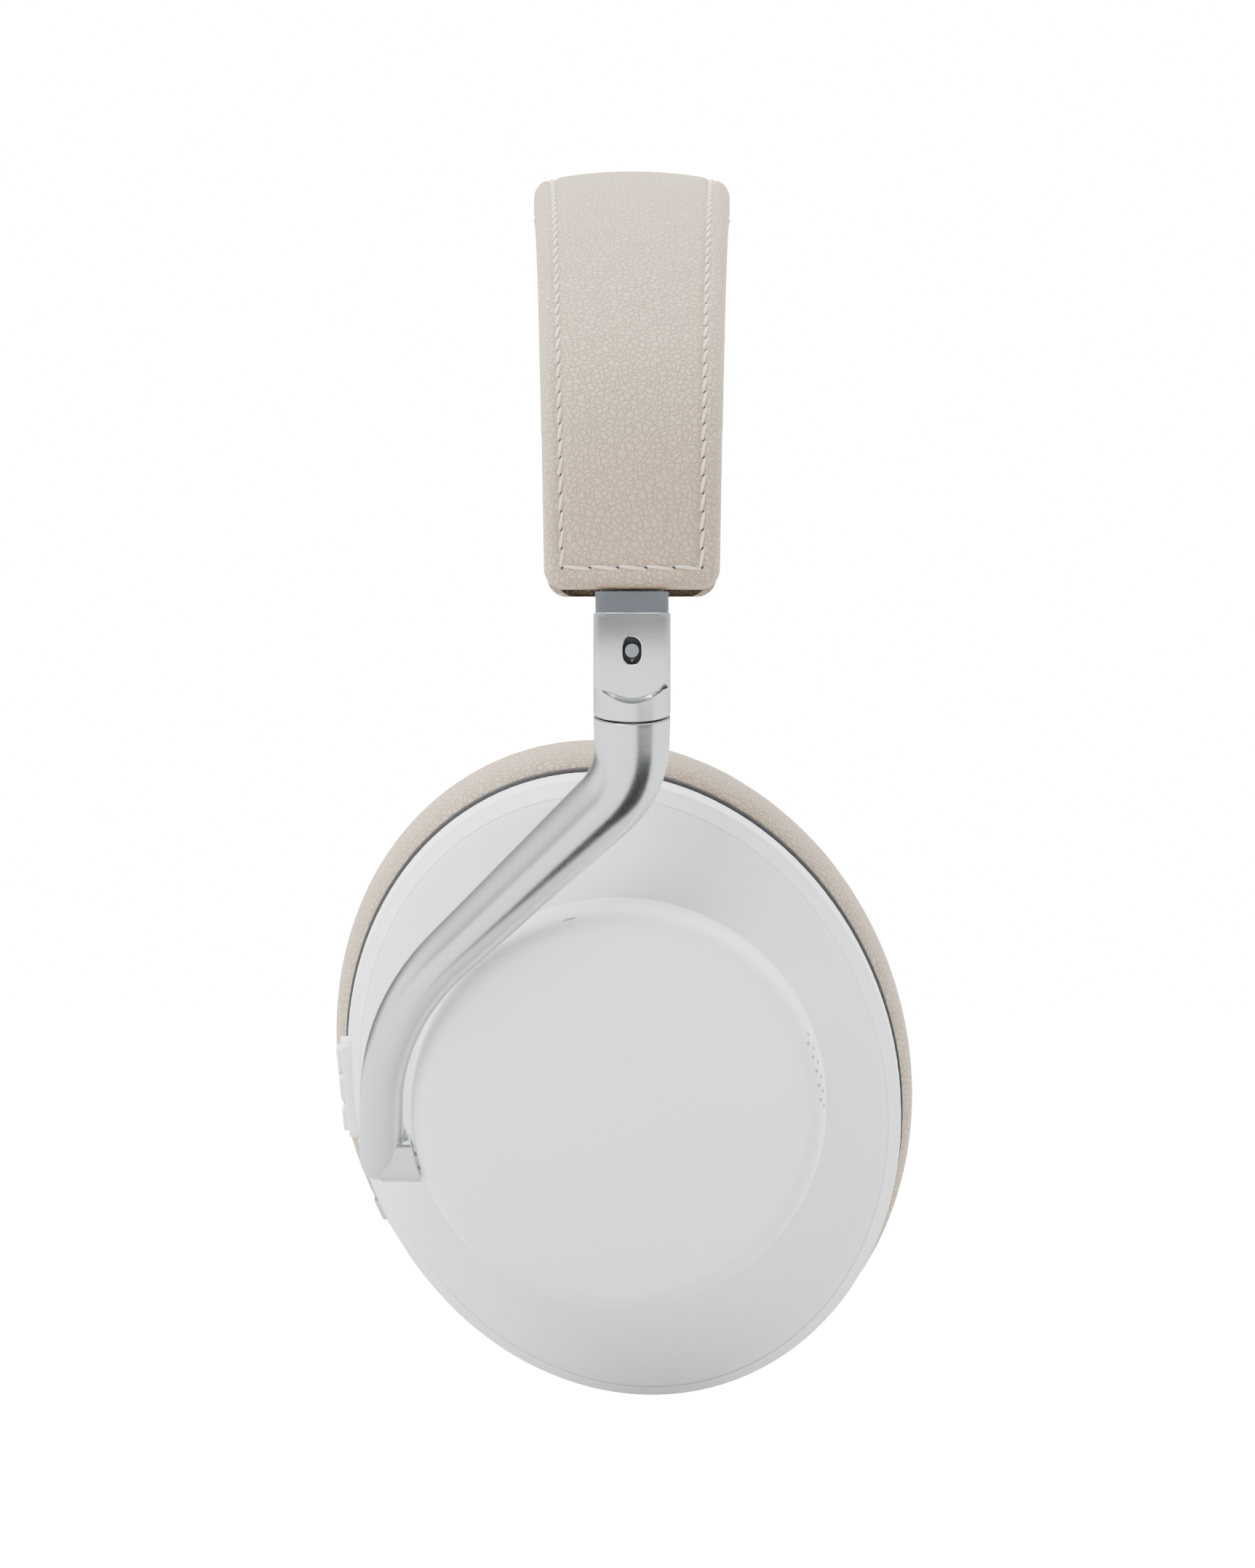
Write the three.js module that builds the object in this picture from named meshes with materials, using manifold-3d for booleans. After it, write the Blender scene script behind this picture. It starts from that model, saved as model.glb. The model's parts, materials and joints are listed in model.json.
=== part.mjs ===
// Over-ear headphones: a leather covered headband, two sliding and swivelling arms and two ear cups.
// Millimetres. +Z is up, +X is the wearer's left and -Y is the wearer's front.
import * as THREE from 'three';
import { mergeVertices } from 'three/addons/utils/BufferGeometryUtils.js';
import Module from 'manifold-3d';

const wasm = await Module();
wasm.setup();

const DEGREE = Math.PI / 180;
const CLEARANCE = 0.3;

// Headband: the arch is a wide arc, a tight shoulder arc and a short straight end on each side.
const BAND_TOP = 195;
const CROWN_RADIUS = 110;
const CROWN_ANGLE = 41 * DEGREE;
const SHOULDER_RADIUS = 46.5;
const BAND_END = 5.7;
const BAND_WIDTH_TOP = 31.5;
const BAND_WIDTH_END = 27.7;
const BAND_CORNER = 3;
const BAND_CROWNING = 1.8;
const BAND_EDGE_ROUND = 2.2;
const COVER_WALL = 1.5;
const COVER_DEPTH = 7;
const SPRING_THICKNESS = 1;
const SPRING_WIDTH = 18;
const SPRING_DEPTH = 2.8;
const CUSHION_THICKNESS = 7.6;
const CUSHION_END_THICKNESS = 2.6;
const HOUSING_LENGTH = 28;
const HOUSING_FLANGE = 2.5;
const HOUSING_RECESS = 2.2;
const BAND_STEP = 9;
const HOUSING_STEP = 4;

// Sliders and hinge blocks.
const SLIDE_SPLAY = 10 * DEGREE;
const SLIDE_DEPTH = 4.9;
const STRIP_WIDTH = 10;
const STRIP_THICKNESS = 1.6;
const STRIP_LENGTH = 26.5;
const STRIP_ROOT = 5;
const NOTCH_RADIUS = 0.5;
const NOTCH_PITCH = 2.5;
const NOTCH_COUNT = 8;
const BLOCK_WIDTH = 12.2;
const BLOCK_THICKNESS = 8.4;
const BLOCK_CORNER = 2.4;
const BLOCK_LENGTH = 16.1;
const BLOCK_POCKET_LENGTH = 4;
const BLOCK_POCKET_WIDTH = 3;
const BLOCK_POCKET_DEPTH = 1.6;
const BLOCK_POCKET_DROP = 8.5;
const SCREW_RADIUS = 1.1;
const SCREW_HEAD = 1;

// Swivel joint between hinge block and arm, on an axis that leans outward at the top.
const LEAN = 13.5 * DEGREE;
const RING_RADIUS = 6.1;
const RING_HEIGHT = 2.3;
const SWIVEL_PIN_RADIUS = 2.4;
const SWIVEL_PIN_IN_BLOCK = 7;
const SWIVEL_PIN_IN_ARM = 8;

// Arm: a tapered tube that runs down, back and down again to the foot beside the hub.
const ARM_TOP_WIDTH = 12.2;
const ARM_END_WIDTH = 7;
const ARM_TAPER_LENGTH = 75;
const ARM_SIDE_GAP = 1.15;
const ARM_RIM_GAP = 4.61;
const ARM_UPPER_BEND = 12;
const ARM_LOWER_DIP = 2;
const ARM_UPPER_CUT = 5;
const ARM_LOWER_CUT = 14;
const ARM_STEP = 4;
const FOOT_GAP = 0.5;

// Ear cup. Depths are measured outward from the face of the ear pad.
const CUP_INSET = 47.8;
const CUP_REAR = 1.2;
const CUP_DROP = 67.5;
const CUP_TURN = 18 * DEGREE;
const SHELL_LONG = 51.2;
const SHELL_SHORT = 43.1;
const SHELL_WALL = 1.8;
const SHELL_LIP_DEPTH = 20;
const SHELL_RIM_DEPTH = 27;
const SHELL_CHAMFER = 2.6;
const SHELL_TOP_DEPTH = 36;
const HUB_RADIUS = 32.85;
const HUB_HEIGHT = 10;
const HUB_WALL = 2;
const HUB_FILLET = 3.5;
const HUB_REAR = 0.9;
const HUB_RISE = 1;
const PIVOT_DEPTH = 41;
const PIVOT_DROP = 7.6;
const PIVOT_RADIUS = 2;
const PIVOT_PIN_INNER = 13;
const PIVOT_PIN_IN_FOOT = 5;
const FOOT_RADIUS = 3.4;
const CARRIER_LENGTH = 14.5;
const CARRIER_INNER = 12;
const CARRIER_HEIGHT = 10;
const CARRIER_DEPTH = 6;

// Ear pad and sound parts.
const PAD_LONG = 53.3;
const PAD_SHORT = 45.1;
const PAD_OPENING_LONG = 32.4;
const PAD_OPENING_SHORT = 23;
const PAD_DEPTH = 19.4;
const PAD_SQUARENESS = 0.72;
const PAD_RING_THICKNESS = 2;
const PAD_RING_LIFT = 0.5;
const PAD_RING_HOLE_LONG = 37;
const PAD_RING_HOLE_SHORT = 27.6;
const BAFFLE_THICKNESS = 2;
const DRIVER_RADIUS = 25;
const DRIVER_FLANGE = 1.5;
const DRIVER_LENGTH = 7;
const DRIVER_WALL = 1.2;
const MAGNET_RADIUS = 14;
const MAGNET_LENGTH = 7;
const GRILLE_THICKNESS = 0.7;
const BOARD_THICKNESS = 1.2;
const BOARD_DEPTH = 29.6;
const BOARD_LONG = 33;
const BOARD_SHORT = 29;
const BATTERY_SIZE = new THREE.Vector3(5.2, 20, 32);
const BATTERY_CORNER = 2;
const BATTERY_FRONT = -13;

// Controls on the back edge of the cups.
const PANEL_HEIGHT = 16;
const PANEL_DEPTH = 4.6;
const PANEL_THICKNESS = 2.6;
const PANEL_PROUD = 0.7;
const BUTTON_PITCH = 4.9;
const BUTTON_HEIGHT = 4;
const BUTTON_DEPTH = 3.2;
const BUTTON_PROUD = 0.8;
const BUTTON_THICKNESS = 2.2;
const BUTTON_CORNER = 0.7;
const PANEL_CORNER = 1;
const OPENING_REACH = 5.2;
const WINDOW_CORNER = 0.8;
const SWITCH_HEIGHT = 4;
const SWITCH_DEPTH = 2.2;
const SWITCH_TRAVEL = 2;
const PORT_HEIGHT = 9;
const PORT_DEPTH = 3.2;
const PORT_THICKNESS = 5;
const CONTROL_DEPTH = 24;
const LIGHT_RADIUS = 0.7;
const PANEL_AT = 75 * DEGREE;
const SWITCH_AT = 98 * DEGREE;
const LIGHT_AT = 107.5 * DEGREE;
const PORT_AT = 117 * DEGREE;

const OVAL_SEGMENTS = 32;
const ARM_SEGMENTS = 12;
const PAD_SECTION_POINTS = 12;

const paint = (color, roughness, metalness) => new THREE.MeshStandardMaterial(
  { color, roughness, metalness });
const LEATHER = paint('#b39377', 0.6, 0);
const METAL = paint('#c3c4c6', 0.3, 1);
const WHITE = paint('#e9e9e7', 0.5, 0);
const DARK = paint('#2b2c2e', 0.6, 0);
const STEEL = paint('#9da1a6', 0.35, 1);
const BOARD = paint('#1f5a3c', 0.55, 0);
const LIGHT = paint('#f4f1e6', 0.25, 0);

// ---------------------------------------------------------------- shape helpers

// Turns a closed geometry into a solid that can be joined and cut.
function solidOf(geometry) {
  const bare = geometry.clone();
  bare.deleteAttribute('normal');
  bare.deleteAttribute('uv');
  const merged = mergeVertices(bare, 1e-4);
  const vertProperties = new Float32Array(merged.attributes.position.array);
  const triVerts = new Uint32Array(merged.index.array);
  return new wasm.Manifold(new wasm.Mesh({ numProp: 3, vertProperties, triVerts }));
}

function geometryOf(solid) {
  const { vertProperties, triVerts } = solid.getMesh();
  const geometry = new THREE.BufferGeometry();
  geometry.setAttribute('position', new THREE.BufferAttribute(new Float32Array(vertProperties), 3));
  geometry.setIndex(new THREE.BufferAttribute(new Uint32Array(triVerts), 1));
  geometry.computeVertexNormals();
  return geometry;
}

const cut = (geometry, ...tools) => geometryOf(
  tools.reduce((solid, tool) => solid.subtract(solidOf(tool)), solidOf(geometry)));
const join = (geometry, ...others) => geometryOf(
  others.reduce((solid, other) => solid.add(solidOf(other)), solidOf(geometry)));

function signedVolume(points, faces) {
  let volume = 0;
  for (let i = 0; i < faces.length; i += 3) {
    const [a, b, c] = [points[faces[i]], points[faces[i + 1]], points[faces[i + 2]]];
    volume += a.dot(new THREE.Vector3().crossVectors(b, c)) / 6;
  }
  return volume;
}

// Skins a row of rings that hold the same number of points. A looped skin closes on its first ring; an
// open one is capped at both ends, with the given cap faces where the section isn't convex.
function skin(rings, { looped = false, caps = null } = {}) {
  const count = rings[0].length;
  const points = rings.flat();
  const faces = [];
  const spans = looped ? rings.length : rings.length - 1;
  for (let i = 0; i < spans; i += 1) {
    const near = i * count;
    const far = ((i + 1) % rings.length) * count;
    for (let j = 0; j < count; j += 1) {
      const k = (j + 1) % count;
      faces.push(near + j, far + j, far + k, near + j, far + k, near + k);
    }
  }
  if (!looped) {
    const last = (rings.length - 1) * count;
    const fan = Array.from({ length: count - 2 }, (_, j) => [0, j + 1, j + 2]);
    for (const [a, b, c] of caps ?? fan) {
      faces.push(a, b, c, last + a, last + c, last + b);
    }
  }
  if (signedVolume(points, faces) < 0) faces.reverse();
  const geometry = new THREE.BufferGeometry().setFromPoints(points);
  geometry.setIndex(faces);
  geometry.computeVertexNormals();
  return geometry;
}

// A round bar along an axis between two places on it.
function bar(axis, radius, from, to, segments = 16) {
  const geometry = new THREE.CylinderGeometry(radius, radius, Math.abs(to - from), segments);
  if (axis === 'x') geometry.rotateZ(-Math.PI / 2);
  if (axis === 'z') geometry.rotateX(Math.PI / 2);
  const middle = (from + to) / 2;
  return geometry.translate(axis === 'x' ? middle : 0, axis === 'y' ? middle : 0, axis === 'z' ? middle : 0);
}

// A rounded rectangle as a closed outline, the first side along x.
function roundedOutline(width, height, radius, steps = 3) {
  const points = [];
  const corners = [[1, 1, 0], [-1, 1, 1], [-1, -1, 2], [1, -1, 3]];
  for (const [sx, sy, quarter] of corners) {
    for (let i = 0; i <= steps; i += 1) {
      const angle = (quarter + i / steps) * Math.PI / 2;
      points.push(new THREE.Vector2(
        sx * (width / 2 - radius) + radius * Math.cos(angle),
        sy * (height / 2 - radius) + radius * Math.sin(angle)));
    }
  }
  return points;
}

// A rounded plate that stands on the yz plane, its thickness running from one x to another.
function plate(widthY, heightZ, radius, fromX, toX, steps = 3) {
  const outline = roundedOutline(widthY, heightZ, radius, steps);
  return skin([fromX, toX].map((x) => outline.map((p) => new THREE.Vector3(x, p.x, p.y))));
}

// ---------------------------------------------------------------- headband

const CROWN_LENGTH = CROWN_RADIUS * CROWN_ANGLE;
const SHOULDER_LENGTH = SHOULDER_RADIUS * (Math.PI / 2 - CROWN_ANGLE);
const BAND_HALF_LENGTH = CROWN_LENGTH + SHOULDER_LENGTH + BAND_END;
const SHOULDER_CENTRE = new THREE.Vector2(
  (CROWN_RADIUS - SHOULDER_RADIUS) * Math.sin(CROWN_ANGLE),
  BAND_TOP - CROWN_RADIUS + (CROWN_RADIUS - SHOULDER_RADIUS) * Math.cos(CROWN_ANGLE));
const BAND_HALF_SPAN = SHOULDER_CENTRE.x + SHOULDER_RADIUS;
const BAND_BOTTOM = SHOULDER_CENTRE.y - BAND_END;

// The place on the arch at an arc length from the top, a depth below the outer face and y across it.
function bandPoint(length, depth, y) {
  const run = Math.abs(length);
  const side = Math.sign(length) || 1;
  const point = new THREE.Vector3(0, y, 0);
  if (run <= CROWN_LENGTH) {
    const angle = run / CROWN_RADIUS;
    point.x = (CROWN_RADIUS - depth) * Math.sin(angle);
    point.z = BAND_TOP - CROWN_RADIUS + (CROWN_RADIUS - depth) * Math.cos(angle);
  } else {
    const angle = Math.min(CROWN_ANGLE + (run - CROWN_LENGTH) / SHOULDER_RADIUS, Math.PI / 2);
    point.x = SHOULDER_CENTRE.x + (SHOULDER_RADIUS - depth) * Math.sin(angle);
    point.z = SHOULDER_CENTRE.y + (SHOULDER_RADIUS - depth) * Math.cos(angle);
    point.z -= Math.max(run - CROWN_LENGTH - SHOULDER_LENGTH, 0);
  }
  point.x *= side;
  return point;
}

// Half the width of the band, with rounded corners where it ends.
function bandHalfWidth(length) {
  const share = Math.abs(length) / BAND_HALF_LENGTH;
  const half = THREE.MathUtils.lerp(BAND_WIDTH_TOP, BAND_WIDTH_END, share) / 2;
  const past = Math.max(BAND_CORNER - (BAND_HALF_LENGTH - Math.abs(length)), 0);
  return half - BAND_CORNER + Math.sqrt(BAND_CORNER ** 2 - past ** 2);
}

// How much lower the crowned outer face lies at y.
const crowning = (y) => BAND_CROWNING * (2 * y / BAND_WIDTH_TOP) ** 2;

// Stations along the band between two arc lengths, closer together in the rounded ends.
function stations(from, to, step = BAND_STEP) {
  const count = Math.ceil((to - from) / step);
  const places = Array.from({ length: count + 1 }, (_, i) => from + (to - from) * i / count);
  const rounded = [0.5, 1.5].map((share) => BAND_HALF_LENGTH - BAND_CORNER * share / 2);
  const extra = [...rounded, ...rounded.map((place) => -place)]
    .filter((place) => place > from && place < to);
  const kept = places.filter((place) => extra.every((other) => Math.abs(place - other) > 1 || place === to
    || place === from));
  return [...kept, ...extra].sort((a, b) => a - b);
}

// Sweeps a section along the band. section(length) lists [y, depth] pairs; the outline isn't convex.
function sweepBand(places, section) {
  const middle = section(places[Math.floor(places.length / 2)]);
  const outline = middle.map(([y, depth]) => new THREE.Vector2(y, depth));
  const clockwise = THREE.ShapeUtils.isClockWise(outline);
  const wind = (list) => (clockwise ? list.reverse() : list);
  const ringAt = (length) => section(length).map(([y, depth]) => bandPoint(length, depth, y));
  const rings = places.map((length) => wind(ringAt(length)));
  return skin(rings, { caps: THREE.ShapeUtils.triangulateShape(wind(outline), []) });
}

// The outer face across the band from one edge to the other, inset by a wall.
function crownedFace(length, wall, edgeDepth) {
  const half = bandHalfWidth(length) - wall;
  const round = BAND_EDGE_ROUND;
  const shoulder = crowning(half) + wall;
  const points = [[half, edgeDepth], [half, shoulder + round], [half - 0.3 * round, shoulder + 0.3 * round]];
  points.push([half - round, crowning(half - round) + wall]);
  points.push([half / 2, crowning(half / 2) + wall]);
  return [...points, [0, wall], ...points.map(([y, depth]) => [-y, depth]).reverse()];
}

function headbandCover() {
  const section = (length) => [
    ...crownedFace(length, 0, COVER_DEPTH),
    ...crownedFace(length, COVER_WALL, COVER_DEPTH).reverse(),
  ];
  return sweepBand(stations(-BAND_HALF_LENGTH, BAND_HALF_LENGTH), section);
}

const HOUSING_START = BAND_HALF_LENGTH - HOUSING_LENGTH;
const HOUSING_END = BAND_HALF_LENGTH - HOUSING_RECESS;
const SPRING_END = HOUSING_START - 8;

function headbandSpring() {
  const half = SPRING_WIDTH / 2;
  const section = () => [
    [half, SPRING_DEPTH], [-half, SPRING_DEPTH],
    [-half, SPRING_DEPTH + SPRING_THICKNESS], [half, SPRING_DEPTH + SPRING_THICKNESS],
  ];
  return sweepBand(stations(-SPRING_END, SPRING_END), section);
}

// The cushion is thick over the head and thins towards the slider housings.
function headbandCushion() {
  const end = HOUSING_START - CLEARANCE;
  const top = COVER_DEPTH + CLEARANCE;
  const section = (length) => {
    const fade = THREE.MathUtils.smoothstep(end - Math.abs(length), 0, end / 2);
    const thickness = THREE.MathUtils.lerp(CUSHION_END_THICKNESS, CUSHION_THICKNESS, fade);
    const half = bandHalfWidth(length) - CLEARANCE;
    const side = [[half, top], [half, top + 0.45 * thickness], [half - 1.4, top + 0.8 * thickness]];
    side.push([half - 4, top + thickness]);
    return [...side, ...side.map(([y, depth]) => [-y, depth]).reverse()];
  };
  return sweepBand(stations(-end, end), section);
}

// ---------------------------------------------------------------- frames of the left side

// The slider leaves the band at this point, along an axis that splays outward going down.
const SLIDE_EXIT = new THREE.Vector2(BAND_HALF_SPAN - SLIDE_DEPTH,
  BAND_BOTTOM - CLEARANCE - BLOCK_THICKNESS / 2 * Math.sin(SLIDE_SPLAY));

// The hinge block is an elbow from the slide axis to the swivel axis, and its middle line is an arc.
const ELBOW_RADIUS = BLOCK_LENGTH / (LEAN + SLIDE_SPLAY);
const elbowPoint = (angle) => new THREE.Vector2(
  SLIDE_EXIT.x + ELBOW_RADIUS * (Math.cos(angle) - Math.cos(SLIDE_SPLAY)),
  SLIDE_EXIT.y - ELBOW_RADIUS * (Math.sin(angle) + Math.sin(SLIDE_SPLAY)));
const BLOCK_FOOT = elbowPoint(LEAN);
const RING_TOP = RING_HEIGHT / 2;
const SWIVEL = new THREE.Vector2(
  BLOCK_FOOT.x - (RING_TOP + CLEARANCE) * Math.sin(LEAN),
  BLOCK_FOOT.y - (RING_TOP + CLEARANCE) * Math.cos(LEAN));

// Groups whose +Z runs up the slide axis and up the swivel axis, and the ear cup's group, whose origin
// is the middle of the pad's face and whose +X points outward.
function slideFrame() {
  const frame = new THREE.Group();
  frame.position.set(SLIDE_EXIT.x, 0, SLIDE_EXIT.y);
  frame.rotation.y = -SLIDE_SPLAY;
  return frame;
}

function swivelFrame() {
  const frame = new THREE.Group();
  frame.position.set(SWIVEL.x, 0, SWIVEL.y);
  frame.rotation.y = LEAN;
  return frame;
}

function cupFrame() {
  const frame = new THREE.Group();
  frame.position.set(-CUP_INSET, CUP_REAR, -CUP_DROP);
  return frame;
}

// ---------------------------------------------------------------- slider

function slotTool(from, to) {
  const width = STRIP_WIDTH + 2 * CLEARANCE;
  const thickness = STRIP_THICKNESS + 2 * CLEARANCE;
  return new THREE.BoxGeometry(thickness, width, to - from).translate(0, 0, (from + to) / 2);
}

// The housing fills the end of the cover, closes the inner side of the band and guides the strip.
function sliderHousing() {
  const top = COVER_WALL + CLEARANCE;
  const flange = COVER_DEPTH + CLEARANCE;
  const section = (length) => {
    const outer = crownedFace(length, top, flange);
    const half = bandHalfWidth(length) - CLEARANCE;
    const bottom = flange + HOUSING_FLANGE;
    const lower = [[-half, flange], [-half + 0.8, bottom], [half - 0.8, bottom], [half, flange]];
    return [...outer, ...lower];
  };
  const body = sweepBand(stations(HOUSING_START, HOUSING_END, HOUSING_STEP), section);
  const frame = slideFrame();
  frame.updateMatrix();
  const slot = slotTool(-2 * CUSHION_THICKNESS, STRIP_LENGTH + HOUSING_FLANGE * 4)
    .applyMatrix4(frame.matrix);
  return cut(body, slot);
}

// The strip runs from the hinge block up into the housing; its back edge has detent notches.
function sliderStrip() {
  const length = STRIP_LENGTH + STRIP_ROOT;
  const blank = new THREE.BoxGeometry(STRIP_THICKNESS, STRIP_WIDTH, length)
    .translate(0, 0, length / 2 - STRIP_ROOT);
  const notches = Array.from({ length: NOTCH_COUNT }, (_, i) => bar('x', NOTCH_RADIUS, -STRIP_THICKNESS,
    STRIP_THICKNESS, 8).translate(0, STRIP_WIDTH / 2, STRIP_LENGTH - NOTCH_PITCH * (i + 1)));
  return cut(blank, ...notches);
}

function hingeBlock() {
  const outline = roundedOutline(BLOCK_THICKNESS, BLOCK_WIDTH, BLOCK_CORNER);
  const rings = [0, 0.25, 0.5, 0.75, 1].map((share) => {
    const angle = THREE.MathUtils.lerp(-SLIDE_SPLAY, LEAN, share);
    const middle = elbowPoint(angle);
    return outline.map((p) => new THREE.Vector3(
      middle.x + p.x * Math.cos(angle), p.y, middle.y - p.x * Math.sin(angle)));
  });
  const slide = slideFrame();
  slide.updateMatrix();
  const slot = slotTool(-STRIP_ROOT - CLEARANCE, CUSHION_THICKNESS).applyMatrix4(slide.matrix);
  const swivel = swivelFrame();
  swivel.updateMatrix();
  const bore = bar('z', SWIVEL_PIN_RADIUS + CLEARANCE, 0, RING_TOP + SWIVEL_PIN_IN_BLOCK + CLEARANCE)
    .applyMatrix4(swivel.matrix);
  return cut(skin(rings), slot, bore, pocketTool());
}

// The window in the outer face of the hinge block and the frame of the screw in it.
function pocketFrame() {
  const share = BLOCK_POCKET_DROP / BLOCK_LENGTH;
  const angle = THREE.MathUtils.lerp(-SLIDE_SPLAY, LEAN, share);
  const middle = elbowPoint(angle);
  return new THREE.Matrix4().makeRotationY(angle).setPosition(middle.x, 0, middle.y);
}

function pocketTool() {
  const floor = BLOCK_THICKNESS / 2 - BLOCK_POCKET_DEPTH;
  const corner = BLOCK_POCKET_WIDTH / 2 - 0.01;
  return plate(BLOCK_POCKET_WIDTH, BLOCK_POCKET_LENGTH, corner, floor, BLOCK_THICKNESS)
    .applyMatrix4(pocketFrame());
}

function hingeScrew() {
  const floor = BLOCK_THICKNESS / 2 - BLOCK_POCKET_DEPTH + CLEARANCE / 2;
  return bar('x', SCREW_RADIUS, floor, floor + SCREW_HEAD, 16).applyMatrix4(pocketFrame());
}

function ringOf(inner, outer, from, to, segments = 24) {
  const profile = [[inner, from], [outer, from], [outer, to], [inner, to], [inner, from]];
  return new THREE.LatheGeometry(profile.map(([r, h]) => new THREE.Vector2(r, h)), segments)
    .rotateX(Math.PI / 2);
}

// ---------------------------------------------------------------- swivel and arm

const ARM_TOP = -RING_TOP - CLEARANCE;

function swivelPin() {
  return bar('z', SWIVEL_PIN_RADIUS, ARM_TOP - SWIVEL_PIN_IN_ARM, RING_TOP + SWIVEL_PIN_IN_BLOCK);
}

const swivelRing = () => ringOf(SWIVEL_PIN_RADIUS + CLEARANCE, RING_RADIUS, -RING_TOP, RING_TOP);

// The arm comes down behind the hub, clear of its round wall.
const ARM_REACH = CUP_REAR + HUB_REAR + HUB_RADIUS + ARM_SIDE_GAP + ARM_END_WIDTH / 2;
const PIVOT = new THREE.Vector3(PIVOT_DEPTH - CUP_INSET, ARM_REACH, -CUP_DROP - PIVOT_DROP);

// Its slanting run passes the hub's rim at a set distance, and the lower bend is where that run ends.
function lowerBend() {
  const middle = new THREE.Vector2(CUP_REAR + HUB_REAR, ARM_UPPER_BEND + HUB_RISE - CUP_DROP);
  const slant = Math.atan2(middle.x, -middle.y) + Math.asin((HUB_RADIUS + ARM_RIM_GAP) / middle.length());
  return -ARM_UPPER_BEND - ARM_REACH / Math.tan(slant);
}

// The middle line of the arm: three straight runs with two rounded bends.
function armPath() {
  const top = new THREE.Vector3(0, 0, ARM_TOP);
  const upper = new THREE.Vector3(0, 0, -ARM_UPPER_BEND);
  const lower = new THREE.Vector3(-ARM_LOWER_DIP, ARM_REACH, lowerBend());
  const towards = (from, to, distance) => to.clone().sub(from).setLength(distance).add(from);
  const path = new THREE.CurvePath();
  const bends = [[top, upper, lower, ARM_UPPER_CUT], [upper, lower, PIVOT, ARM_LOWER_CUT]];
  let start = top;
  for (const [before, corner, after, reach] of bends) {
    const enter = towards(corner, before, reach);
    const leave = towards(corner, after, reach);
    path.add(new THREE.LineCurve3(start, enter));
    path.add(new THREE.QuadraticBezierCurve3(enter, corner, leave));
    start = leave;
  }
  path.add(new THREE.LineCurve3(start, PIVOT));
  return path;
}

// Where the foot of the arm stops short of the round wall of the hub cap.
const FOOT_END = CUP_REAR + HUB_REAR + FOOT_GAP
  + Math.sqrt(HUB_RADIUS ** 2 - (PIVOT_DROP + HUB_RISE - FOOT_RADIUS) ** 2);

function arm() {
  const path = armPath();
  const length = path.getLength();
  const count = Math.round(length / ARM_STEP);
  const rings = Array.from({ length: count + 1 }, (_, i) => {
    const middle = path.getPoint(i / count);
    const along = path.getTangent(i / count);
    const out = new THREE.Vector3(1, 0, 0).addScaledVector(along, -along.x).normalize();
    const across = new THREE.Vector3().crossVectors(along, out);
    const taper = Math.min(length * i / count / ARM_TAPER_LENGTH, 1);
    const radius = THREE.MathUtils.lerp(ARM_TOP_WIDTH, ARM_END_WIDTH, taper) / 2;
    return Array.from({ length: ARM_SEGMENTS }, (_, j) => {
      const turn = j * 2 * Math.PI / ARM_SEGMENTS;
      return middle.clone().addScaledVector(out, radius * Math.cos(turn))
        .addScaledVector(across, radius * Math.sin(turn));
    });
  });
  const elbow = new THREE.SphereGeometry(ARM_END_WIDTH / 2, ARM_SEGMENTS, 8).translate(...PIVOT);
  const foot = bar('y', FOOT_RADIUS, FOOT_END, ARM_REACH).translate(PIVOT.x, 0, PIVOT.z);
  const pinBore = bar('y', PIVOT_RADIUS + CLEARANCE, FOOT_END - 1, FOOT_END + PIVOT_PIN_IN_FOOT + CLEARANCE)
    .translate(PIVOT.x, 0, PIVOT.z);
  const swivelBore = bar('z', SWIVEL_PIN_RADIUS + CLEARANCE, ARM_TOP - SWIVEL_PIN_IN_ARM - CLEARANCE, 1);
  return cut(join(skin(rings), elbow, foot), pinBore, swivelBore);
}

// ---------------------------------------------------------------- ear cup, in the cup's frame

// A ring of points round an oval or a circle at one depth.
function oval(depth, long, short = long, rear = 0, rise = 0) {
  return Array.from({ length: OVAL_SEGMENTS }, (_, i) => {
    const angle = i * 2 * Math.PI / OVAL_SEGMENTS;
    const up = long * Math.cos(angle);
    const back = short * Math.sin(angle);
    return new THREE.Vector3(depth,
      rear + up * Math.sin(CUP_TURN) + back * Math.cos(CUP_TURN),
      rise + up * Math.cos(CUP_TURN) - back * Math.sin(CUP_TURN));
  });
}

const shellOval = (depth, inset) => oval(depth, SHELL_LONG - inset, SHELL_SHORT - inset);
const hubCircle = (depth, radius) => oval(depth, radius, radius, HUB_REAR, HUB_RISE);

// A flat oval ring with an oval hole.
function ovalRing(from, to, long, short, holeLong, holeShort) {
  return skin([oval(from, long, short), oval(to, long, short), oval(to, holeLong, holeShort),
    oval(from, holeLong, holeShort)], { looped: true });
}

// The frame of a control on the rim: +X points out of the wall and +Z runs up along it.
function rimFrame(angle) {
  const [up, back] = [Math.cos(angle), Math.sin(angle)];
  const place = new THREE.Vector2(
    SHELL_LONG * up * Math.sin(CUP_TURN) + SHELL_SHORT * back * Math.cos(CUP_TURN),
    SHELL_LONG * up * Math.cos(CUP_TURN) - SHELL_SHORT * back * Math.sin(CUP_TURN));
  const [nUp, nBack] = [up / SHELL_LONG, back / SHELL_SHORT];
  const normal = new THREE.Vector2(
    nUp * Math.sin(CUP_TURN) + nBack * Math.cos(CUP_TURN),
    nUp * Math.cos(CUP_TURN) - nBack * Math.sin(CUP_TURN)).normalize();
  return new THREE.Matrix4().makeBasis(
    new THREE.Vector3(0, normal.x, normal.y),
    new THREE.Vector3(-1, 0, 0),
    new THREE.Vector3(0, -normal.y, normal.x)).setPosition(CONTROL_DEPTH, place.x, place.y);
}

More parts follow.
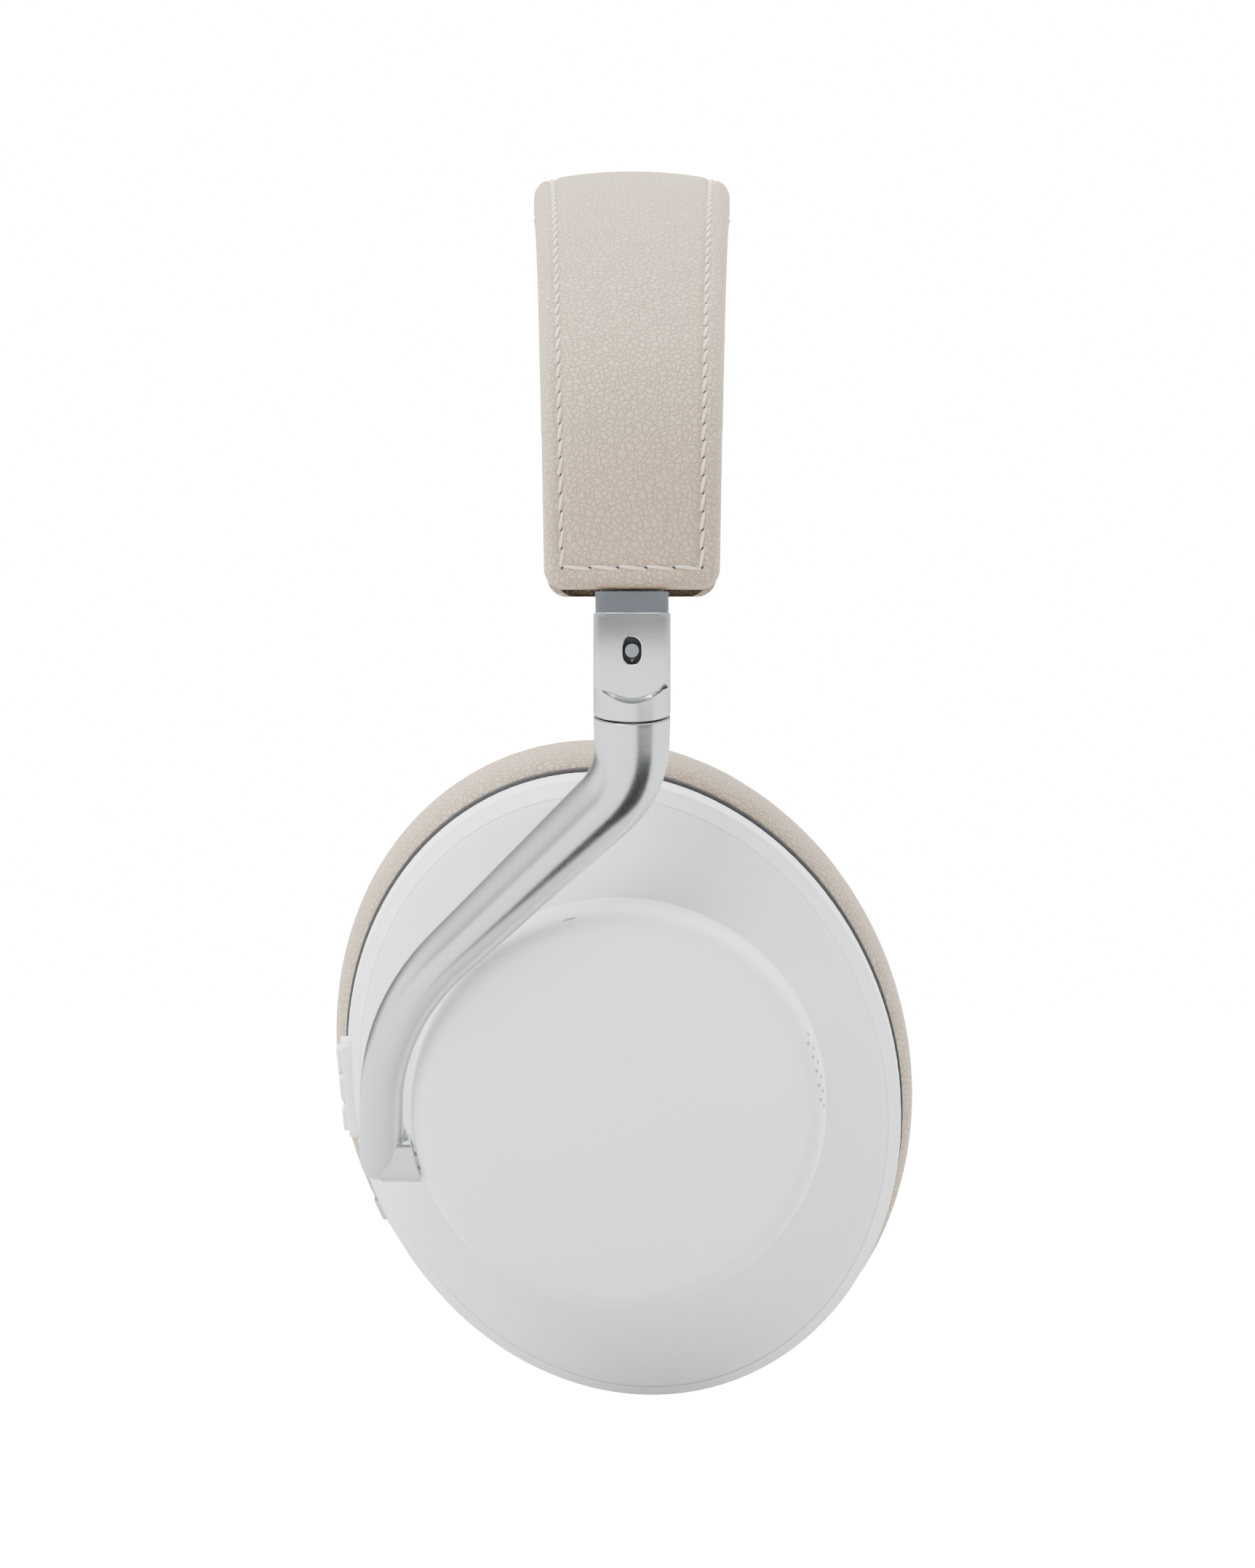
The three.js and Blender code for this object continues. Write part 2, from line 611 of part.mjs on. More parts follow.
const onRim = (geometry, angle) => geometry.applyMatrix4(rimFrame(angle));

function cupShell(openings) {
  const innerTop = SHELL_TOP_DEPTH - SHELL_WALL;
  const coneFoot = SHELL_RIM_DEPTH + SHELL_CHAMFER / 2;
  const body = skin([
    hubCircle(innerTop, HUB_RADIUS / 3),
    hubCircle(innerTop, HUB_RADIUS - SHELL_CHAMFER),
    shellOval(coneFoot - SHELL_WALL, SHELL_CHAMFER + SHELL_WALL / 2),
    shellOval(SHELL_RIM_DEPTH - SHELL_WALL, SHELL_WALL),
    shellOval(SHELL_LIP_DEPTH, SHELL_WALL),
    shellOval(SHELL_LIP_DEPTH, 0.9),
    shellOval(SHELL_LIP_DEPTH + 0.8, 0.2),
    shellOval(SHELL_LIP_DEPTH + 1.6, 0),
    shellOval(SHELL_RIM_DEPTH - 0.4, 0),
    shellOval(SHELL_RIM_DEPTH + 0.4, 0.6),
    shellOval(coneFoot, SHELL_CHAMFER),
    hubCircle(SHELL_TOP_DEPTH, HUB_RADIUS - SHELL_WALL / 2),
    hubCircle(SHELL_TOP_DEPTH, HUB_RADIUS / 3),
  ]);
  return cut(body, ...openings);
}

function hubCap() {
  const bottom = SHELL_TOP_DEPTH + CLEARANCE;
  const top = bottom + HUB_HEIGHT;
  const inner = HUB_RADIUS - HUB_WALL;
  const fillet = [0, 1, 2, 3].map((i) => {
    const angle = i * Math.PI / 6;
    return hubCircle(top - HUB_FILLET * (1 - Math.sin(angle)),
      HUB_RADIUS - HUB_FILLET * (1 - Math.cos(angle)));
  });
  const body = skin([
    hubCircle(top - HUB_WALL, HUB_RADIUS / 3),
    hubCircle(top - HUB_WALL, inner - HUB_FILLET / 2),
    hubCircle(top - HUB_WALL - HUB_FILLET / 2, inner),
    hubCircle(bottom, inner),
    hubCircle(bottom, HUB_RADIUS),
    ...fillet,
    hubCircle(top, HUB_RADIUS / 3),
  ]);
  const hole = bar('y', PIVOT_RADIUS + 2 * CLEARANCE, HUB_RADIUS / 2, HUB_RADIUS + ARM_END_WIDTH)
    .translate(PIVOT_DEPTH, 0, -PIVOT_DROP);
  return cut(body, hole);
}

function hubCarrier() {
  const block = new THREE.BoxGeometry(CARRIER_DEPTH, CARRIER_LENGTH, CARRIER_HEIGHT)
    .translate(PIVOT_DEPTH, CARRIER_INNER + CARRIER_LENGTH / 2, -PIVOT_DROP);
  const bore = bar('y', PIVOT_RADIUS + CLEARANCE, 0, HUB_RADIUS).translate(PIVOT_DEPTH, 0, -PIVOT_DROP);
  return cut(block, bore);
}

// The pin's frame is the swivel frame, because it is fixed in the foot of the arm.
function tiltPin() {
  return bar('y', PIVOT_RADIUS, CUP_REAR + PIVOT_PIN_INNER, FOOT_END + PIVOT_PIN_IN_FOOT)
    .translate(PIVOT.x, 0, PIVOT.z);
}

// A round piece about the cup's axis. Its profile lists [radius, depth], and starts and ends on the axis
// or closes on itself.
function turned(profile, segments = 28) {
  const outline = profile.map(([radius, depth]) => new THREE.Vector2(radius, depth));
  return new THREE.LatheGeometry(outline, segments).rotateZ(-Math.PI / 2);
}

const RING_DEPTH = PAD_DEPTH + CLEARANCE;
const BAFFLE_DEPTH = RING_DEPTH + PAD_RING_THICKNESS + CLEARANCE;
const FLANGE_DEPTH = BAFFLE_DEPTH - CLEARANCE - DRIVER_FLANGE;
const DRIVER_END = BAFFLE_DEPTH + DRIVER_LENGTH;

// The pad ring and the baffle reach the shell's wall and are notched where a control stands in it.
function padRing(openings) {
  const inset = SHELL_WALL + CLEARANCE;
  return cut(ovalRing(RING_DEPTH + PAD_RING_LIFT, RING_DEPTH + PAD_RING_THICKNESS, SHELL_LONG - inset,
    SHELL_SHORT - inset, PAD_RING_HOLE_LONG, PAD_RING_HOLE_SHORT), ...openings);
}

function baffle(openings) {
  const inset = SHELL_WALL + CLEARANCE;
  const hole = DRIVER_RADIUS + CLEARANCE;
  return cut(ovalRing(BAFFLE_DEPTH, BAFFLE_DEPTH + BAFFLE_THICKNESS, SHELL_LONG - inset,
    SHELL_SHORT - inset, hole, hole), ...openings);
}

function driverFrame() {
  const flange = DRIVER_RADIUS + DRIVER_FLANGE;
  const inner = DRIVER_RADIUS - DRIVER_WALL;
  const hole = MAGNET_RADIUS + CLEARANCE;
  return turned([
    [inner, FLANGE_DEPTH], [flange, FLANGE_DEPTH], [flange, FLANGE_DEPTH + DRIVER_FLANGE],
    [DRIVER_RADIUS, FLANGE_DEPTH + DRIVER_FLANGE], [DRIVER_RADIUS, DRIVER_END - DRIVER_WALL],
    [DRIVER_RADIUS - DRIVER_WALL, DRIVER_END], [hole, DRIVER_END], [hole, DRIVER_END - DRIVER_WALL],
    [inner, DRIVER_END - DRIVER_WALL], [inner, FLANGE_DEPTH],
  ]);
}

function driverMagnet() {
  const front = DRIVER_END - MAGNET_LENGTH / 2;
  const back = front + MAGNET_LENGTH;
  return turned([[0, front], [MAGNET_RADIUS, front], [MAGNET_RADIUS, back - 1], [MAGNET_RADIUS - 1, back],
    [0, back]], 20);
}

function driverDiaphragm() {
  const edge = DRIVER_RADIUS - DRIVER_WALL - CLEARANCE;
  const front = FLANGE_DEPTH + 0.4;
  const dome = edge * 0.45;
  return turned([[0, front], [dome * 0.6, front + 0.4], [dome, front + 1.4], [edge * 0.8, front],
    [edge, front + 1], [edge, front + 1.5], [edge * 0.8, front + 0.6], [dome, front + 2],
    [dome * 0.6, front + 1], [0, front + 0.6]]);
}

function driverGrille() {
  const inset = 4 * CLEARANCE;
  return skin([0, GRILLE_THICKNESS].map((rise) => oval(FLANGE_DEPTH - CLEARANCE - GRILLE_THICKNESS + rise,
    PAD_RING_HOLE_LONG - inset, PAD_RING_HOLE_SHORT - inset)));
}

// The pad's section is a rounded square bent round the oval.
function earPad() {
  const halfDepth = PAD_DEPTH / 2;
  const rings = Array.from({ length: PAD_SECTION_POINTS }, (_, i) => {
    const angle = (i + 0.5) * 2 * Math.PI / PAD_SECTION_POINTS;
    const soften = (value) => Math.sign(value) * Math.abs(value) ** PAD_SQUARENESS;
    const across = soften(Math.cos(angle));
    const mix = (outer, opening) => (outer + opening) / 2 + across * (outer - opening) / 2;
    return oval(halfDepth + halfDepth * soften(Math.sin(angle)), mix(PAD_LONG, PAD_OPENING_LONG),
      mix(PAD_SHORT, PAD_OPENING_SHORT));
  });
  return skin(rings, { looped: true });
}

function circuitBoard() {
  const hole = MAGNET_RADIUS + 2 * CLEARANCE;
  return ovalRing(BOARD_DEPTH, BOARD_DEPTH + BOARD_THICKNESS, BOARD_LONG, BOARD_SHORT, hole, hole);
}

function battery() {
  const front = SHELL_TOP_DEPTH + 6 * CLEARANCE;
  return plate(BATTERY_SIZE.y, BATTERY_SIZE.z, BATTERY_CORNER, front, front + BATTERY_SIZE.x)
    .translate(0, BATTERY_FRONT, 0);
}

// ---------------------------------------------------------------- controls, in the cup's frame

// A rounded tool that cuts through the wall and leaves the clearance round what stands in it.
const opening = (depth, height, corner) => plate(depth + 2 * CLEARANCE, height + 2 * CLEARANCE, corner,
  -OPENING_REACH, OPENING_REACH);

const panelOpening = () => onRim(opening(PANEL_DEPTH, PANEL_HEIGHT, PANEL_CORNER), PANEL_AT);

// The panel has a window for each button; heights lists where each sits and how tall it is.
function controlPanel(buttons) {
  const body = plate(PANEL_DEPTH, PANEL_HEIGHT, PANEL_CORNER, PANEL_PROUD - PANEL_THICKNESS, PANEL_PROUD);
  const windows = buttons.map(([place, height]) => opening(BUTTON_DEPTH, height, WINDOW_CORNER)
    .translate(0, 0, place));
  return onRim(cut(body, ...windows), PANEL_AT);
}

function panelButton(place, height) {
  const top = PANEL_PROUD + BUTTON_PROUD;
  const cap = plate(BUTTON_DEPTH, height, BUTTON_CORNER, top - BUTTON_THICKNESS, top);
  return onRim(cap.translate(0, 0, place), PANEL_AT);
}

const THREE_BUTTONS = [[BUTTON_PITCH, BUTTON_HEIGHT], [0, BUTTON_HEIGHT], [-BUTTON_PITCH, BUTTON_HEIGHT]];
const ONE_BUTTON = [[0, 2 * BUTTON_PITCH]];

const switchOpening = () => onRim(
  opening(SWITCH_DEPTH, SWITCH_HEIGHT + 2 * SWITCH_TRAVEL, WINDOW_CORNER), SWITCH_AT);
const modeSwitch = () => onRim(
  plate(SWITCH_DEPTH, SWITCH_HEIGHT, BUTTON_CORNER, -SHELL_WALL, BUTTON_PROUD), SWITCH_AT);

const portOpening = () => onRim(opening(PORT_DEPTH, PORT_HEIGHT, PORT_DEPTH / 2), PORT_AT);

function chargingPort() {
  const wall = CLEARANCE;
  const sleeve = plate(PORT_DEPTH, PORT_HEIGHT, PORT_DEPTH / 2 - 0.05, -PORT_THICKNESS, -CLEARANCE);
  const mouth = plate(PORT_DEPTH - 2 * wall, PORT_HEIGHT - 2 * wall, PORT_DEPTH / 2 - wall - 0.05,
    1 - PORT_THICKNESS, PANEL_THICKNESS);
  return onRim(cut(sleeve, mouth), PORT_AT);
}

const lightOpening = () => onRim(bar('x', LIGHT_RADIUS + CLEARANCE, -PANEL_THICKNESS, PANEL_THICKNESS, 12),
  LIGHT_AT);
const statusLight = () => onRim(bar('x', LIGHT_RADIUS, -SHELL_WALL, 0, 12), LIGHT_AT);

// ---------------------------------------------------------------- assembly

const headphones = new THREE.Group();

function add(parent, name, geometry, material) {
  const mesh = new THREE.Mesh(geometry, material);
  mesh.name = name;
  parent.add(mesh);
}

add(headphones, 'headband_cover', headbandCover(), LEATHER);
add(headphones, 'headband_spring', headbandSpring(), STEEL);
add(headphones, 'headband_cushion', headbandCushion(), LEATHER);

// Everything that both sides have, built as the left side and mirrored for the right one.
function addSide(side, openings) {
  const whole = new THREE.Group();
  whole.scale.x = side === 'left' ? 1 : -1;
  headphones.add(whole);
  const slide = slideFrame();
  const swivel = swivelFrame();
  const cup = cupFrame();
  whole.add(slide, swivel);
  swivel.add(cup);
  add(whole, `slider_housing_${side}`, sliderHousing(), DARK);
  add(slide, `slider_strip_${side}`, sliderStrip(), STEEL);
  add(whole, `hinge_block_${side}`, hingeBlock(), METAL);
  add(whole, `hinge_screw_${side}`, hingeScrew(), STEEL);
  add(swivel, `swivel_ring_${side}`, swivelRing(), METAL);
  add(swivel, `swivel_pin_${side}`, swivelPin(), STEEL);
  add(swivel, `arm_${side}`, arm(), METAL);
  add(swivel, `tilt_pin_${side}`, tiltPin(), STEEL);
  add(cup, `cup_shell_${side}`, cupShell(openings), WHITE);
  add(cup, `hub_cap_${side}`, hubCap(), WHITE);
  add(cup, `hub_carrier_${side}`, hubCarrier(), DARK);
  add(cup, `pad_ring_${side}`, padRing(openings), DARK);
  add(cup, `baffle_${side}`, baffle(openings), DARK);
  add(cup, `driver_frame_${side}`, driverFrame(), DARK);
  add(cup, `driver_magnet_${side}`, driverMagnet(), STEEL);
  add(cup, `driver_diaphragm_${side}`, driverDiaphragm(), DARK);
  add(cup, `driver_grille_${side}`, driverGrille(), DARK);
  add(cup, `ear_pad_${side}`, earPad(), LEATHER);
  add(cup, `circuit_board_${side}`, circuitBoard(), BOARD);
  return cup;
}

const rightCup = addSide('right', [panelOpening(), switchOpening(), portOpening(), lightOpening()]);
add(rightCup, 'control_panel_right', controlPanel(THREE_BUTTONS), WHITE);
add(rightCup, 'volume_up_button', panelButton(...THREE_BUTTONS[0]), WHITE);
add(rightCup, 'play_button', panelButton(...THREE_BUTTONS[1]), METAL);
add(rightCup, 'volume_down_button', panelButton(...THREE_BUTTONS[2]), WHITE);
add(rightCup, 'mode_switch', modeSwitch(), METAL);
add(rightCup, 'charging_port', chargingPort(), STEEL);
add(rightCup, 'status_light', statusLight(), LIGHT);

const leftCup = addSide('left', [panelOpening()]);
add(leftCup, 'control_panel_left', controlPanel(ONE_BUTTON), WHITE);
add(leftCup, 'quick_button', panelButton(...ONE_BUTTON[0]), METAL);
add(leftCup, 'battery', battery(), DARK);

// The origin is the middle of the underside of the whole object's box.
const extent = new THREE.Box3().setFromObject(headphones, true);
const centre = extent.getCenter(new THREE.Vector3());
headphones.position.set(-centre.x, -centre.y, -extent.min.z);

export default headphones;
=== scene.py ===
import json
import math

import bmesh
import bpy
from bpy.props import FloatProperty, FloatVectorProperty, PointerProperty
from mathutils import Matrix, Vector


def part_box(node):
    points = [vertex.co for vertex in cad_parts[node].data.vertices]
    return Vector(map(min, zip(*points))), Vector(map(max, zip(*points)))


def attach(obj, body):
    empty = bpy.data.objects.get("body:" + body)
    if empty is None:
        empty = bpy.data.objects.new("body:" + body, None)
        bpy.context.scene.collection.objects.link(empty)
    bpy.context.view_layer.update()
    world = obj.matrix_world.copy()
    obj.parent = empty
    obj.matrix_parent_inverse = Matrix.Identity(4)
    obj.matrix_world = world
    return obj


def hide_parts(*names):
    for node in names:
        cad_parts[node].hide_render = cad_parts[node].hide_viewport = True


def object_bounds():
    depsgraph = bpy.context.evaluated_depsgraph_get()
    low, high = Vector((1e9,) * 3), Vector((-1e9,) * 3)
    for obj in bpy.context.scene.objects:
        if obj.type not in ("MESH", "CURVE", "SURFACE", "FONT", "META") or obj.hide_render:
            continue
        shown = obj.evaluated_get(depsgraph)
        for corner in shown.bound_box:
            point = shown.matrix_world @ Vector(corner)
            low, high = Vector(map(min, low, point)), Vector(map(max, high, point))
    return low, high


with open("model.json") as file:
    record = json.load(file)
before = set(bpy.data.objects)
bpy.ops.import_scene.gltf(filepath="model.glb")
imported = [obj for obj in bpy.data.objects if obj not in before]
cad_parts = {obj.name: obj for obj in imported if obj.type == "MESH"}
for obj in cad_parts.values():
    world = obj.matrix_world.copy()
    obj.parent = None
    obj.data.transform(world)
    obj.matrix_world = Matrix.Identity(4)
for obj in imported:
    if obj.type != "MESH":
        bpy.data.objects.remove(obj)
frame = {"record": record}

bl_info = {
    "name": "Over-ear Headphones",
    "version": (1, 0, 0),
    "blender": (4, 5, 0),
    "location": "View3D > Sidebar > Headphones",
    "description": "Leather, satin metal and lacquered shells for a pair of over-ear headphones",
    "category": "Object",
}

MM = 0.001
TURN = 2 * math.pi
CAD_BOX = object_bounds()
JOINTS = {joint["name"]: joint for joint in frame["record"]["behaviour"]["joints"]}
SIDES = ("left", "right")
SHARP = math.radians(32)
SHELL_SHARP = math.radians(24)
LEATHER_SHARP = math.radians(60)


def length(name, description, millimetres):
    return FloatProperty(name=name, description=description, default=millimetres * MM, unit="LENGTH",
                         precision=5)


def angle(name, description, degrees):
    return FloatProperty(name=name, description=description, default=math.radians(degrees), unit="ROTATION")


def colour(name, description, red, green, blue):
    return FloatVectorProperty(name=name, description=description, default=(red, green, blue),
                               subtype="COLOR", size=3, min=0, max=1)


# ------------------------------------------------------------------ settings

class BandSizes(bpy.types.PropertyGroup):
    crown_radius: length("Crown radius", "Radius of the arch over the head", 110)
    crown_angle: angle("Crown angle", "Angle from the top to the shoulder arc", 41)
    shoulder_radius: length("Shoulder radius", "Radius of the shoulder arc", 46.5)
    end_length: length("End length", "Straight stretch at each end", 5.7)
    width_top: length("Width at the top", "Width of the leather over the head", 31.5)
    width_end: length("Width at the ends", "Width of the leather at its ends", 27.7)
    corner: length("Corner", "Radius of the corners at the ends", 3.2)
    crowning: length("Crowning", "How much lower the edges lie than the middle", 1.8)
    edge_round: length("Edge round", "Radius where the outer face turns into the side", 2.5)
    wall: length("Leather", "Thickness of the leather and its backing", 1.5)
    depth: length("Cover depth", "How far the leather wraps down the sides", 7)
    cushion: length("Cushion", "Thickness of the cushion over the head", 7.6)
    cushion_end: length("Cushion end", "Thickness of the cushion at its ends", 2.6)
    housing: length("Housing", "Length of the slider housing at each end", 28)
    seam_inset: length("Seam inset", "Distance of the stitch line from the side edges", 2.9)
    seam_end: length("End seam", "Distance of the last stitch row from the end", 3.4)
    stitch_pitch: length("Stitch pitch", "Distance from one stitch to the next", 3.0)
    thread: length("Thread", "Diameter of the sewing thread", 0.6)


class ArmSizes(bpy.types.PropertyGroup):
    top_width: length("Top width", "Diameter of the arm at the swivel", 12.2)
    end_width: length("End width", "Diameter of the arm at its foot", 7)
    taper: length("Taper", "Length over which the arm gets thinner", 75)
    reach: length("Reach", "How far the foot stands behind the swivel", 39.6)
    upper_bend: length("Upper bend", "Drop from the swivel to the upper bend", 12)
    lower_bend: length("Lower bend", "Drop from the swivel to the lower bend", 50.8)
    dip: length("Dip", "How far the lower bend lies inboard", 2)
    upper_cut: length("Upper cut", "Distance from the upper corner where its curve starts", 6)
    lower_cut: length("Lower cut", "Distance from the lower corner where its curve starts", 15.5)
    ring_height: length("Ring height", "Height of the swivel ring", 2.3)
    gap: length("Joint gap", "Gap between the moving pieces", 0.3)
    block_width: length("Block width", "Width of the hinge block", 12.2)
    block_thickness: length("Block thickness", "Thickness of the hinge block", 9)
    block_length: length("Block length", "Length of the hinge block", 16.1)
    foot_radius: length("Foot radius", "Radius of the foot that enters the hub", 3.4)


class CupSizes(bpy.types.PropertyGroup):
    turn: angle("Turn", "How far the oval leans back", 18)
    rear: length("Rear", "How far the cup's middle lies behind the swivel", 1.2)
    shell_long: length("Long half", "Half the length of the shell", 51.2)
    shell_short: length("Short half", "Half the width of the shell", 43.1)
    wall: length("Wall", "Wall of the shell", 1.8)
    lip_depth: length("Lip", "Depth of the shell's edge from the pad's face", 20)
    rim_depth: length("Rim", "Depth where the straight rim ends", 26.3)
    chamfer: length("Chamfer", "Width of the sloping band round the rim", 2.3)
    top_depth: length("Top", "Depth of the shell under the hub", 36)
    hub_radius: length("Hub radius", "Radius of the round hub cap", 32.85)
    hub_height: length("Hub height", "Height of the hub cap", 10)
    hub_wall: length("Hub wall", "Wall of the hub cap", 2)
    hub_fillet: length("Hub fillet", "Radius of the hub cap's edge", 3.5)
    hub_rear: length("Hub rear", "How far the hub lies behind the cup's middle", 0.9)
    hub_rise: length("Hub rise", "How far the hub lies above the cup's middle", 1)
    pivot_depth: length("Pivot depth", "Depth of the tilt axis from the pad's face", 41)
    pivot_drop: length("Pivot drop", "How far the tilt axis lies below the cup's middle", 7.6)
    pad_long: length("Pad long half", "Half the length of the ear pad", 53.3)
    pad_short: length("Pad short half", "Half the width of the ear pad", 45.1)
    opening_long: length("Opening long half", "Half the length of the ear opening", 32.4)
    opening_short: length("Opening short half", "Half the width of the ear opening", 23)
    pad_depth: length("Pad depth", "Thickness of the ear pad", 19.4)
    control_depth: length("Control depth", "Depth of the controls in the rim", 24)


class Finishes(bpy.types.PropertyGroup):
    leather: colour("Leather", "Colour of the leather", 0.40, 0.31, 0.22)
    thread: colour("Thread", "Colour of the sewing thread", 0.64, 0.56, 0.45)
    aluminium: colour("Aluminium", "Colour of the satin metal", 0.60, 0.625, 0.635)
    steel: colour("Steel", "Colour of the brushed steel", 0.56, 0.57, 0.58)
    lacquer: colour("Lacquer", "Colour of the shells", 0.80, 0.80, 0.795)
    # The gunmetal colour is painted shadow on the hinge block's neck under the leather's end, and the dark
    # metal of the hinge screw.
    gunmetal: colour("Gunmetal", "Colour of the dark metal at the neck", 0.27, 0.295, 0.33)
    # The dark plastic also stands as painted shade in the needle holes and the block's screw window, and as
    # the painted shadow ring between shell and pad.
    plastic: colour("Plastic", "Colour of the dark plastic", 0.025, 0.025, 0.027)
    cloth: colour("Cloth", "Colour of the cloth over the driver", 0.05, 0.05, 0.052)
    board: colour("Board", "Colour of the circuit board", 0.03, 0.16, 0.08)
    floor: colour("Floor", "Colour of the floor", 0.8, 0.8, 0.8)
    flock: colour("Flock", "Colour of the card that gives the arms their dark streak", 0.02, 0.02, 0.02)


class StageSizes(bpy.types.PropertyGroup):
    lens: FloatProperty(name="Lens", description="Focal length in millimetres", default=600)
    frame_height: length("Frame height", "Height that the view covers at the object", 248.1)
    frame_bottom: length("Frame bottom", "How far the view reaches below the floor", 26.6)
    floor_size: FloatProperty(name="Floor", description="Width of the floor", default=14, unit="LENGTH")


# ------------------------------------------------------------------ shader maths

class Value:
    """A number that varies over a surface: the usual operators add its Math nodes."""

    def __init__(self, finish, socket):
        self.finish = finish
        self.socket = socket

    def math(self, operation, *values):
        return self.finish.node("ShaderNodeMath", {"operation": operation},
                                **{str(index): value for index, value in enumerate(values)})

    def __add__(self, other):
        return self.math("ADD", self, other)

    def __radd__(self, other):
        return self.math("ADD", other, self)

    def __sub__(self, other):
        return self.math("SUBTRACT", self, other)

    def __rsub__(self, other):
        return self.math("SUBTRACT", other, self)

    def __mul__(self, other):
        return self.math("MULTIPLY", self, other)

    def __rmul__(self, other):
        return self.math("MULTIPLY", other, self)


class Nodes:
    """A node tree being made: node() adds any node and answers with its first output or the one named."""

    def __init__(self, owner):
        owner.use_nodes = True
        self.tree = owner.node_tree

    def node(self, kind, settings=None, output=0, **values):
        made = self.tree.nodes.new(kind)
        for key, setting in (settings or {}).items():
            setattr(made, key, setting)
        for key, value in values.items():
            socket = made.inputs[int(key)] if key.isdigit() else made.inputs[key.replace("_", " ")]
            self.put(socket, value)
        return Value(self, made.outputs[output]) if output is not None else made

    def put(self, socket, value):
        if isinstance(value, Value):
            self.tree.links.new(value.socket, socket)
        else:
            socket.default_value = value

    def coordinates(self, name):
        return self.node("ShaderNodeTexCoord", output=name)

    def noise(self, scale, detail=3.0, roughness=0.5, vector=None):
        return self.node("ShaderNodeTexNoise", Vector=vector or self.coordinates("Object"), Scale=scale,
                         Detail=detail, Roughness=roughness)

    def ramp(self, value, *stops):
        made = self.tree.nodes.new("ShaderNodeValToRGB")
        made.color_ramp.elements.remove(made.color_ramp.elements[1])
        for index, (position, shade) in enumerate(stops):
            element = made.color_ramp.elements.new(position) if index else made.color_ramp.elements[0]
            element.position = position
            element.color = (shade, shade, shade, 1)
        self.put(made.inputs[0], value)
        return Value(self, made.outputs[0])

    def blend(self, factor, first, second):
        """A colour between two, each a triple of numbers or a link."""
        made = self.tree.nodes.new("ShaderNodeMix")
        made.data_type = "RGBA"
        for index, value in ((0, factor), (6, first), (7, second)):
            self.put(made.inputs[index], (*value, 1) if isinstance(value, tuple) else value)
        return Value(self, made.outputs[2])


class Finish(Nodes):
    """A material being made."""

    def __init__(self, name):
        self.material = bpy.data.materials.new(name)
        super().__init__(self.material)
        self.shader = self.tree.nodes["Principled BSDF"]

    def shade(self, **values):
        for key, value in values.items():
            value = (*value, 1) if isinstance(value, tuple) and len(value) == 3 else value
            self.put(self.shader.inputs[key.replace("_", " ")], value)
        return self

    def bump(self, height, distance, strength=1.0):
        """Bumps this high, in millimetres."""
        made = self.node("ShaderNodeBump", output="Normal", Height=height, Distance=distance * MM,
                         Strength=strength)
        self.put(self.shader.inputs["Normal"], made)
        return self


def tint(shade, factor):
    return tuple(min(channel * factor, 1) for channel in shade)


def leather_finish(shade):
    finish = Finish("leather")
    place = finish.coordinates("Object")
    drift = finish.ramp(finish.noise(160, 2, vector=place), (0.35, 0.0), (0.65, 1.0))
    wander = finish.node("ShaderNodeVectorMath", {"operation": "SCALE"}, Scale=0.0011,
                         **{"0": finish.noise(520, 2, vector=place)})
    wandering = finish.node("ShaderNodeVectorMath", {"operation": "ADD"}, **{"0": place, "1": wander})
    pebble = finish.node("ShaderNodeTexVoronoi", {"feature": "DISTANCE_TO_EDGE"}, Vector=wandering,
                         Scale=1050)
    crease = finish.ramp(pebble, (0.0, 0.0), (0.1, 0.7), (0.35, 1.0))
    fine = finish.noise(4200, 2, 0.6, place)
    mottled = finish.blend(drift, tint(shade, 0.975), tint(shade, 1.025))
    finish.shade(Base_Color=finish.blend(crease * 0.6 + 0.4, tint(shade, 0.76), mottled),
                 Roughness=0.66 - crease * 0.16 + fine * 0.08, Specular_IOR_Level=0.4)
    return finish.bump(crease * 0.8 + fine * 0.2, 0.2).material


def thread_finish(shade):
    finish = Finish("thread")
    fibres = finish.noise(2600, 3, 0.7)
    finish.shade(Base_Color=finish.blend(fibres, tint(shade, 0.8), tint(shade, 1.12)), Roughness=0.75)
    return finish.bump(fibres, 0.05).material


def aluminium_finish(shade):
    finish = Finish("satin_aluminium")
    blasted = finish.noise(5200, 2, 0.65)
    broad = finish.noise(160, 2)
    finish.shade(Base_Color=finish.blend(broad, tint(shade, 0.95), tint(shade, 1.03)), Metallic=1.0,
                 Roughness=0.17 + blasted * 0.08 + broad * 0.03)
    return finish.bump(blasted, 0.006).material


# Dark metal: the hinge screw's colour, and painted shadow on the hinge block's neck.
def gunmetal_finish(shade):
    finish = Finish("gunmetal")
    blasted = finish.noise(5200, 2, 0.65)
    finish.shade(Base_Color=finish.blend(blasted, tint(shade, 0.85), tint(shade, 1.15)), Metallic=1.0,
                 Roughness=0.3 + blasted * 0.12)
    return finish.bump(blasted, 0.006).material


def steel_finish(shade):
    finish = Finish("brushed_steel")
    streaks = finish.node("ShaderNodeVectorMath", {"operation": "MULTIPLY"}, **{
        "0": finish.coordinates("Object"), "1": (1.0, 14.0, 1.0)})
    lines = finish.noise(700, 3, 0.6, streaks)
    finish.shade(Base_Color=finish.blend(lines, tint(shade, 0.85), tint(shade, 1.1)), Metallic=1.0,
                 Roughness=0.28 + lines * 0.16)
    return finish.bump(lines, 0.006).material


def lacquer_finish(shade):
    finish = Finish("white_lacquer")
    peel = finish.noise(2400, 2, 0.55)
    broad = finish.noise(60, 3)
    finish.shade(Base_Color=finish.blend(broad, tint(shade, 0.985), tint(shade, 1.01)),
                 Roughness=0.40 + peel * 0.10, Specular_IOR_Level=0.45)
    return finish.bump(peel, 0.004).material


